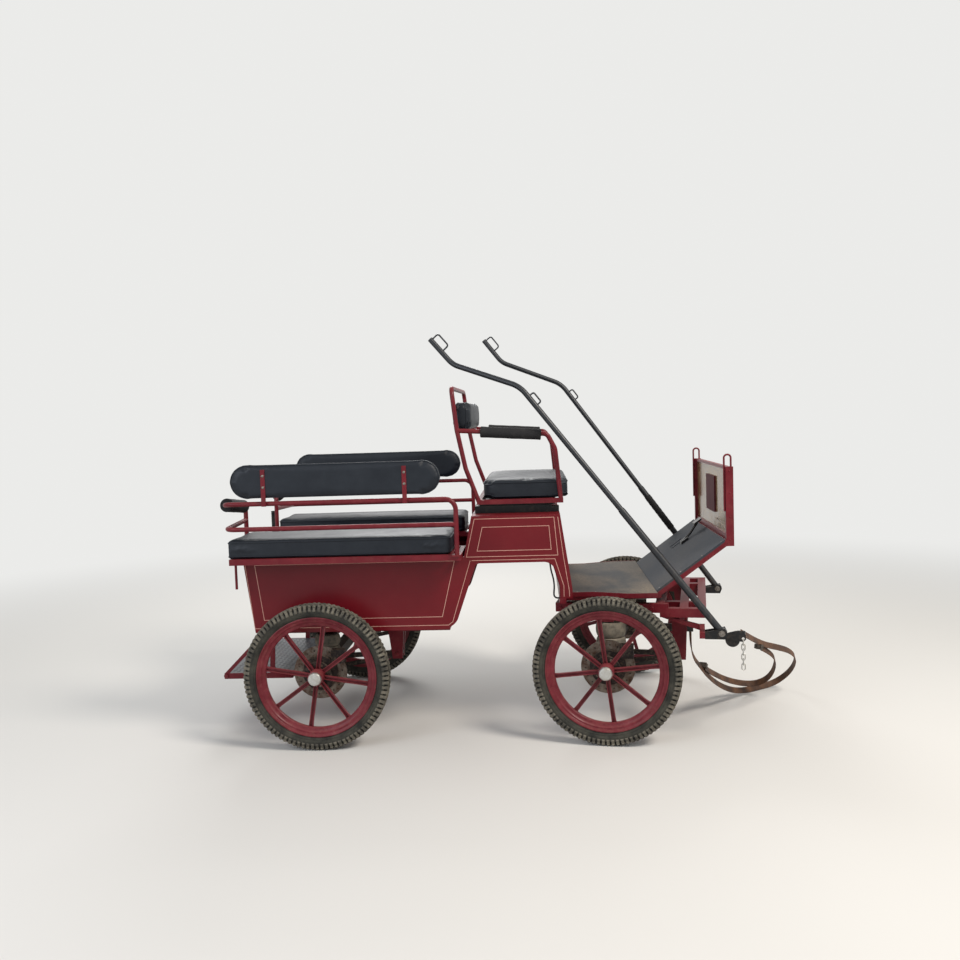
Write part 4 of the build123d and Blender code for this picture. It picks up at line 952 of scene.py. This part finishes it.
def bellowsInto(work, radius, z0, z1):  # two folds of rubber between plates, with a girdle between the folds
    plate, fold, inset = bellowsShape["plate"], bellowsShape["fold"], bellowsShape["inset"]
    quarter = (z1 - z0 - 2 * plate) / 4
    foot = radius - inset - bellowsShape["foot"]
    rubber = [(0, z0 + plate), (foot, z0 + plate)]
    for centre in (z0 + plate + quarter, z1 - plate - quarter):
        for turn in range(-84, 85, 14):
            rubber.append((radius - fold + fold * cos(radians(turn)), centre + quarter * sin(radians(turn))))
    rubber += [(foot, z1 - plate), (0, z1 - plate)]
    lathe(work, [(r / 1000, z / 1000) for r, z in rubber], 56, 0, False)
    for low, high in ((z0, z0 + plate), (z1 - plate, z1)):
        disc = [(0, low), (radius - inset, low), (radius - inset, high), (0, high)]
        lathe(work, [(r / 1000, z / 1000) for r, z in disc], 40, 1, False)
    ring = circle((radius - fold + 1) / 1000, (z0 + z1) / 2000, 48)
    tubeInto(work, ring, bellowsShape["girdle"] / 1000, 8, 1, loop=True)


for name, node, onBogie, half, radius in bellowsTable:
    low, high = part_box(node)
    work = bmesh.new()
    for side in (-1, 1):
        spot = placeOnBogie(0, side * half, 0) if onBogie else place(0, side * half, 0)
        movedInto(work, Matrix.Translation(spot) @ Matrix.Rotation(pi / 2, 4, "X"),
                  lambda: bellowsInto(work, radius, low[2] * 1000, high[2] * 1000))
    addPiece(name, meshFrom(name, work, finish["bellows"], finish["axle"]),
             "bogie" if onBogie else "carriage", [node])

print("stage: painted stripes")

stripes = {
    "width": 2.7,
    "proud": 0.25,
    "sunk": -0.3,
    "face": 500.0,
    # closed or open lines on the side panels: x from the rear axle and height, in millimetres
    "closed": [
        [(-305, 844), (-270, 581), (578, 581), (643, 844)],
        [(742, 1037), (1112, 1037), (1126, 860), (700, 860)],
        [(778, 998), (1088, 998), (1096, 887), (751, 887)],
    ],
    "open": [
        [(-351, 846), (-317, 541), (606, 541), (626, 556), (717, 843)],
        [(724, 843), (1112, 843), (1150, 716), (1150, 664)],
        [(1130, 1038), (1152, 850), (1175, 690), (1175, 664)],
    ],
}


def ribbonInto(work, line, closed, side):  # flat painted line with mitred corners
    count = len(line)
    points = [Vector(p) for p in line]
    rings = []
    for i, point in enumerate(points):
        into = (point - points[i - 1]).normalized() if i or closed else None
        out = (points[(i + 1) % count] - point).normalized() if i < count - 1 or closed else None
        into, out = into or out, out or into
        across = (Vector((-into.y, into.x)) + Vector((-out.y, out.x))).normalized()
        reach = across * (stripes["width"] / 2 / max(across.dot(Vector((-out.y, out.x))), 0.3))
        sunk, proud = stripes["sunk"], stripes["proud"]
        rings.append([work.verts.new(place(spot.x, side * (stripes["face"] + depth), spot.y))
                      for spot, depth in ((point + reach, sunk), (point + reach, proud),
                                          (point - reach, proud), (point - reach, sunk))])
    skin(work, rings + (rings[:1] if closed else []))
    if not closed:
        capEnds(work, rings)


work = bmesh.new()
for side in (-1, 1):
    for key in ("closed", "open"):
        for line in stripes[key]:
            ribbonInto(work, line, key == "closed", side)
addPiece("sideStripes", meshFrom("sideStripes", work, finish["stripe"]), "carriage",
         crease=20)

print("stage: shafts and platform edging")

shaftSize = {
    # along the bogie, up, and out from the middle, counted from the fold pin
    "route": [(0.0, 0.0, 555.0), (-894.0, 1134.0, 518.0), (-1228.0, 1253.0, 460.0), (-1335.0, 1378.0, 463.0)],
    "bends": [150.0, 110.0],
    "pivot": (513.0, 512.0),
    "tube": 13.0,
    "sleeve": 16.0,
    "sleeveLength": 700.0,
    "collar": 15.2,
    "eye": 23.0,
    "eyeHalf": 15.0,
    "eyeBevel": 1.5,
    "pin": 8.3,
    "loopWire": 4.0,
    # rein loops: distance of their feet from the tip or from the upper bend, their rise and bends
    "tipLoop": (8.0, 84.0, 46.0, 12.0),
    "sideLoop": (62.0, 118.0, 32.0, 9.0),
    # tape wound round the left sleeve: its start, pitch, width, turns and radius, and how much turns differ
    "tape": (422.0, 14.0, 13.0, 16, 18.6, 0.7),
    "leftForward": 2.4,
}


def bentPath(points, bends, steps=9):  # straight runs joined by arcs
    path = [points[0]]
    for before, corner, after, bend in zip(points, points[1:], points[2:], bends):
        a, b = (before - corner).normalized(), (after - corner).normalized()
        half = a.angle(b) / 2
        centre = corner + (a + b).normalized() * (bend / sin(half))
        start, end = [corner + leg * (bend / tan(half)) - centre for leg in (a, b)]
        for k in range(steps + 1):
            path.append(centre + start.slerp(end, k / steps).normalized() * bend)
    path.append(points[-1])
    return path


def reinLoopInto(work, spot, run, low, high, reach, bend):  # bent wire standing on the tube
    away = Vector((run.z, 0, -run.x)) * reach
    near, far = spot - run * low, spot - run * high
    tubeInto(work, bentPath([near, near + away, far + away, far], [bend, bend], 6), shaftSize["loopWire"], 10)


def shaftMesh(side, forward):
    work = bmesh.new()
    size = shaftSize
    points = [Vector((x, side * y, z)) for x, z, y in size["route"]]
    run = (points[1] - points[0]).normalized()
    tip = (points[3] - points[2]).normalized()
    end = points[0] + run * size["sleeveLength"]
    tubeInto(work, bentPath([end - run * 10] + points[1:], size["bends"]), size["tube"], 28)
    tubeInto(work, [points[0] + run * (size["eye"] - 3), end - run * 3, end], size["sleeve"], 28)
    tubeInto(work, [end - run * 2, end + run * 9], size["collar"], 28)
    outer, half, bevel = size["eye"], size["eyeHalf"], size["eyeBevel"]
    eye = [(size["pin"], -half), (outer - bevel, -half), (outer, -half + bevel), (outer, half - bevel),
           (outer - bevel, half), (size["pin"], half)]
    movedInto(work, Matrix.Translation(points[0]), lambda: lathe(work, eye, 48))
    reinLoopInto(work, points[3], tip, *size["tipLoop"])
    reinLoopInto(work, points[1], run, *size["sideLoop"])
    if side > 0:
        first, pitch, width, turns, radius, pull = size["tape"]
        for k in range(turns):
            start = points[0] + run * (first + pitch * k)
            tubeInto(work, [start, start + run * width], radius - pull * (k % 2), 24, 1)
    bogie = Matrix.Translation(placeOnBogie(size["pivot"][0], 0, size["pivot"][1]))
    bogie = bogie @ Matrix.Rotation(-parkedSteer, 4, "Z") @ Matrix.Rotation(forward, 4, "Y")
    bmesh.ops.transform(work, matrix=bogie @ Matrix.Scale(0.001, 4), verts=work.verts)
    return meshFrom("shaftTube", work, finish["shaft"], finish["foam"])


addPiece("shaftRight", shaftMesh(-1, 0.0), "shaft_right", ["shaft_right"], crease=40)
addPiece("shaftLeft", shaftMesh(1, radians(shaftSize["leftForward"])), "shaft_left",
         ["shaft_left"], crease=40)

edging = {
    "line": [(1192, 431.5), (1290, 431.5), (1450, 496.5), (1582, 496.5)],
    "low": 650.0,
    "high": 671.5,
    "thickness": 3.0,
    "holder": (1300, 1378, 446, 482, 634, 652),
    "holderBevel": 0.0015,
}
section = [(0, edging["low"]), (edging["thickness"], edging["low"]), (edging["thickness"], edging["high"]),
           (0, edging["high"])]
work = bmesh.new()
for side in (-1, 1):
    rings = [[work.verts.new(place(x, side * (y + out), z)) for out, z in section] for x, y in edging["line"]]
    skin(work, rings)
    capEnds(work, rings)
x0, x1, y0, y1, z0, z1 = edging["holder"]  # a flat holder under the right edge
boxInto(work, place(x0, -y1, z0), place(x1, -y0, z1), edging["holderBevel"])
addPiece("platformEdging", meshFrom("platformEdging", work, finish["frame"]), "carriage")

print("stage: step sheet, chain and fasteners")


def fasten(name, rows, piece, material, body, spin=0.0, nodes=()):  # rows of place, facing and along
    mesh = bpy.data.meshes.new(name)
    mesh.from_pydata([row[0] for row in rows], [], [])
    for label, column in (("facing", 1), ("along", 2)):
        layer = mesh.attributes.new(label, "FLOAT_VECTOR", "POINT")
        for item, row in zip(layer.data, rows):
            item.vector = row[column]
    made = runTree(name, trees["points"], mesh, {"Piece": piece, "Seed": 4, "Spin": spin,
                                                 "Finish": finish[material]})
    addPiece(name, made, body, nodes)


def turnedUp(work):  # a turned shape's axis to local Z
    bmesh.ops.rotate(work, verts=work.verts, cent=(0, 0, 0), matrix=Matrix.Rotation(pi / 2, 3, "X"))


def domeHead(radius, height):  # carriage bolt or rivet head
    def fill(work):
        arc = [(radius * cos(radians(turn)), height * sin(radians(turn))) for turn in range(0, 90, 15)]
        lathe(work, arc + [(0, height)], 14, 0, False)
        turnedUp(work)
    return fill


def screwAndWasher(radius, height):  # hexagon head on a round washer
    def fill(work):
        lathe(work, [(0, 0), (radius * 1.5, 0), (radius * 1.5, 0.0016), (0, 0.0016)], 20, 0, False)
        turnedUp(work)
        movedInto(work, Matrix.Translation((0, 0, 0.0014)), lambda: hexHead(radius, height)(work))
    return fill


def treadBar(work):  # raised bar of the step's chequer sheet
    outline = [(-11, 0), (-5, -2.6), (5, -2.6), (11, 0), (5, 2.6), (-5, 2.6)]
    rings = [[work.verts.new((x * long / 1000, y * wide / 1000, height / 1000)) for x, y in outline]
             for long, wide, height in ((1, 1, 0), (0.8, 0.6, 1.1))]
    skin(work, rings)
    work.faces.new(rings[-1])


up, down = Vector((0, 0, 1)), Vector((0, 0, -1))
stepSheet = {"rear": -513.0, "front": -187.0, "half": 362.0, "top": 292.0, "thickness": 1.2, "pitch": 24.0}
rear, front, half, pitch = [stepSheet[key] for key in ("rear", "front", "half", "pitch")]
level = stepSheet["top"] + stepSheet["thickness"]
work = bmesh.new()
boxInto(work, place(rear, -half, stepSheet["top"] - 0.2), place(front, half, level))
addPiece("stepSheet", meshFrom("stepSheet", work, finish["step"]), "carriage")
rows = []
across = int(2 * half / pitch) - 1
length = int((front - rear) / pitch) - 1
for i in range(length):
    for k in range(across):
        x = (rear + front) / 2 + (i - (length - 1) / 2) * pitch
        y = (k - (across - 1) / 2) * pitch
        lean = Vector((1, 1, 0)) if (i + k) % 2 else Vector((1, -1, 0))
        rows.append((place(x, y, level), up, lean))
fasten("stepBars", rows, pattern("stepBar", treadBar), "step", "carriage")

chain = {"count": 6, "forward": 606.0, "left": -526.0, "top": 462.5, "pitch": 22.36, "length": 34.0,
         "width": 20.0, "wire": 2.5}


def chainLink(work):  # welded round-wire link, long axis along local X
    straight, bend = (chain["length"] - chain["width"]) / 2, chain["width"] / 2 - chain["wire"]
    path = []
    for end in (1, -1):
        for k in range(9):
            turn = radians(-90 + 22.5 * k)
            path.append(Vector((end * (straight + bend * cos(turn)), end * bend * sin(turn), 0)) / 1000)
    tubeInto(work, path, chain["wire"] / 1000, 8, loop=True)


bogieForward = Vector((cos(parkedSteer), -sin(parkedSteer), 0))
bogieLeft = Vector((sin(parkedSteer), cos(parkedSteer), 0))
rows = []
for k in range(chain["count"]):
    spot = placeOnBogie(chain["forward"], chain["left"], chain["top"] - chain["pitch"] * k)
    rows.append((spot, bogieForward if k % 2 == 0 else bogieLeft, down))
fasten("wireChain", rows, pattern("chainLink", chainLink), "cap", "bogie",
       nodes=["strap_chain"])

heads = {
    "dome": pattern("domeHead", domeHead(0.0065, 0.0034)),
    "rivet": pattern("smallRivet", domeHead(0.004, 0.0018)),
    "hexagon": pattern("hexWasher", screwAndWasher(0.0095, 0.0072)),
}
fasteners = [
    # name, head, finish, body, slot, share of a random turn, and the places on each side of the carriage or
    # bogie: along, out from the middle and up in millimetres, and the way that the head faces
    ("bracketBolts", "dome", "bolt", "carriage", "red_frame", 0.0,
     [(x, 651.3, z, "out") for x in (-205.0, 441.0) for z in (1222.0, 1274.0)]),
    ("panelRivets", "rivet", "panel", "carriage", "maroon_panel", 0.0,
     [(-288.0, 500.0, 566.0, "out"), (312.0, 500.0, 566.0, "out"), (622.0, 500.0, 700.0, "out")]
     + [(x, 500.0, 1044.5, "out") for x in (760.0, 850.0, 950.0, 1050.0, 1115.0)]
     + [(1930.0, 436.0, z, "out") for z in (900.0, 1010.0, 1120.0, 1225.0)]),
    ("hexBolts", "hexagon", "frame", "carriage", "red_frame", 1.0,
     [(335.0, 334.0, 368.0, "out"), (335.0, 266.0, 368.0, "in"), (-508.0, 370.0, 280.0, "out"),
      (-192.0, 370.0, 280.0, "out")]),
    ("deckScrews", "rivet", "bolt", "carriage", "chain_steel", 0.0,
     [(1215.0, 418.0, 670.0, "up")] + [(x, 430.0, 670.0, "up") for x in (1300.0, 1400.0, 1500.0, 1570.0)]
     + [(x, 422.0, 670.0 + 0.72981 * (x - 1583.0), "slope") for x in (1600.0, 1700.0, 1800.0, 1890.0)]),
    ("bogieBolts", "hexagon", "frame", "bogie", "red_frame", 1.0,
     [(forward, 430.0, 591.0, "out") for forward in (-235.0, 0.0, 200.0)]),
    ("pinHeads", "hexagon", "bolt", "bogie", "chain_steel", 1.0,
     [(513.0, 581.5, 512.0, "out"), (513.0, 528.5, 512.0, "in")]),
]
for name, head, material, body, slot, spin, places in fasteners:
    rows = []
    for side in (-1, 1):
        out = side * (bogieLeft if body == "bogie" else Vector((0, 1, 0)))
        facings = {  # the way that a head faces, and a direction across it
            "out": (out, up),
            "in": (-out, up),
            "up": (up, Vector((1, 0, 0))),
            "slope": (Vector((-0.5895, 0, 0.8077)), Vector((0, 1, 0))),
        }
        toPlace = placeOnBogie if body == "bogie" else place
        rows += [(toPlace(x, side * y, z), *facings[facing]) for x, y, z, facing in places]
    fasten(name, rows, heads[head], material, body, spin)

print("stage: straps and hose")

strapRoute = [
    # millimetres from the rear axle, the same points as the part's route
    (1753, -421, 345), (1795, -355, 285), (1847, -250, 210), (1926, -120, 125), (2018, 20, 55),
    (2108, 130, 21), (2198, 210, 15), (2278, 248, 22), (2338, 232, 64), (2366, 155, 135), (2352, 40, 219),
    (2290, -70, 282), (2206, -180, 327), (2117, -290, 368), (2040, -400, 421), (1984, -500, 466),
]
innerRoute = [
    (2081.9, -340.1, 368.8), (2115.0, -292.9, 346.0), (2168, -205, 300), (2203, -130, 258), (2220, -55, 200),
    (2218, 12, 140), (2195, 65, 92), (2150, 98, 66), (2092, 95, 69), (2030, 50, 93), (1965, -25, 132),
    (1910, -115, 178),
]
strap = {
    "width": 0.032,
    "thickness": 0.0042,
    "across": (-0.07, 0.57, 0.82),
    # the inner strap ends on the outer one's first run: share of that run, rise, two distances along it
    "meeting": (0.35, 0.0217, 0.070, 0.015),
}
hose = {
    "radius": 0.004,
    "side": -450.0,
    "route": [(1088, 829), (1091, 786), (1103, 744), (1107, 706), (1103, 668), (1106, 655.9), (1115.1, 648.9),
              (1129, 648.9)],
}


def splinePoints(points):  # points read from the route's own smooth curve
    data = bpy.data.curves.new("routeCurve", "CURVE")
    data.dimensions = "3D"
    data.resolution_u = 8
    line = data.splines.new("NURBS")
    line.points.add(len(points) - 1)
    for target, point in zip(line.points, points):
        target.co = (*point, 1.0)
    line.order_u = 3
    line.use_endpoint_u = True
    holder = addObject("routeCurve", data)
    mesh = plainMesh(holder)
    path = [v.co.copy() for v in mesh.vertices]
    bpy.data.objects.remove(holder)
    bpy.data.meshes.remove(mesh)
    return path


def bandInto(work, path):  # flat leather band: it bends only about its width, square to the plane of the loop
    corners = [(-1, -0.55), (-0.93, -1), (0.93, -1), (1, -0.55), (1, 0.55), (0.93, 1), (-0.93, 1), (-1, 0.55)]
    across = Vector(strap["across"]).normalized()
    width, thickness = strap["width"] / 2, strap["thickness"] / 2
    rings = []
    for i, point in enumerate(path):
        run = (path[min(i + 1, len(path) - 1)] - path[max(i - 1, 0)]).normalized()
        wide = (across - run * across.dot(run)).normalized()
        thick = run.cross(wide)
        rings.append([work.verts.new(point + wide * x * width + thick * z * thickness) for x, z in corners])
    skin(work, rings)
    capEnds(work, rings)


outerPoints = [placeOnBogie(372, -388, 478), placeOnBogie(372, -388, 410)]
outerPoints += [place(*point) for point in strapRoute] + [placeOnBogie(600, -513, 503)]
share, rise, *ends = strap["meeting"]
upper, lower = place(*strapRoute[1]), place(*strapRoute[2])
run = (lower - upper).normalized()
centre = upper.lerp(lower, share) + (up - run * run.z).normalized() * rise
innerPoints = [place(*point) for point in innerRoute] + [centre + run * end for end in ends]
hosePoints = [place(x, hose["side"], z) for x, z in hose["route"]]

for name, node, points, onIt in (
        ("strapOuter", "strap_outer", outerPoints, [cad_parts["strap_keepers"]]),
        ("strapInner", "strap_inner", innerPoints, [])):
    path = splinePoints(points)
    work = bmesh.new()
    bandInto(work, path)
    band = addPiece(name, meshFrom(name, work, finish["strap"]), "bogie", [node])
path = splinePoints(hosePoints)
work = bmesh.new()
tubeInto(work, path, hose["radius"], 12)
made = addPiece("brakeHose", meshFrom("brakeHose", work, finish["shaft"]), "carriage",
                ["brake_hose"])

for made in patterns:
    bpy.data.objects.remove(made)
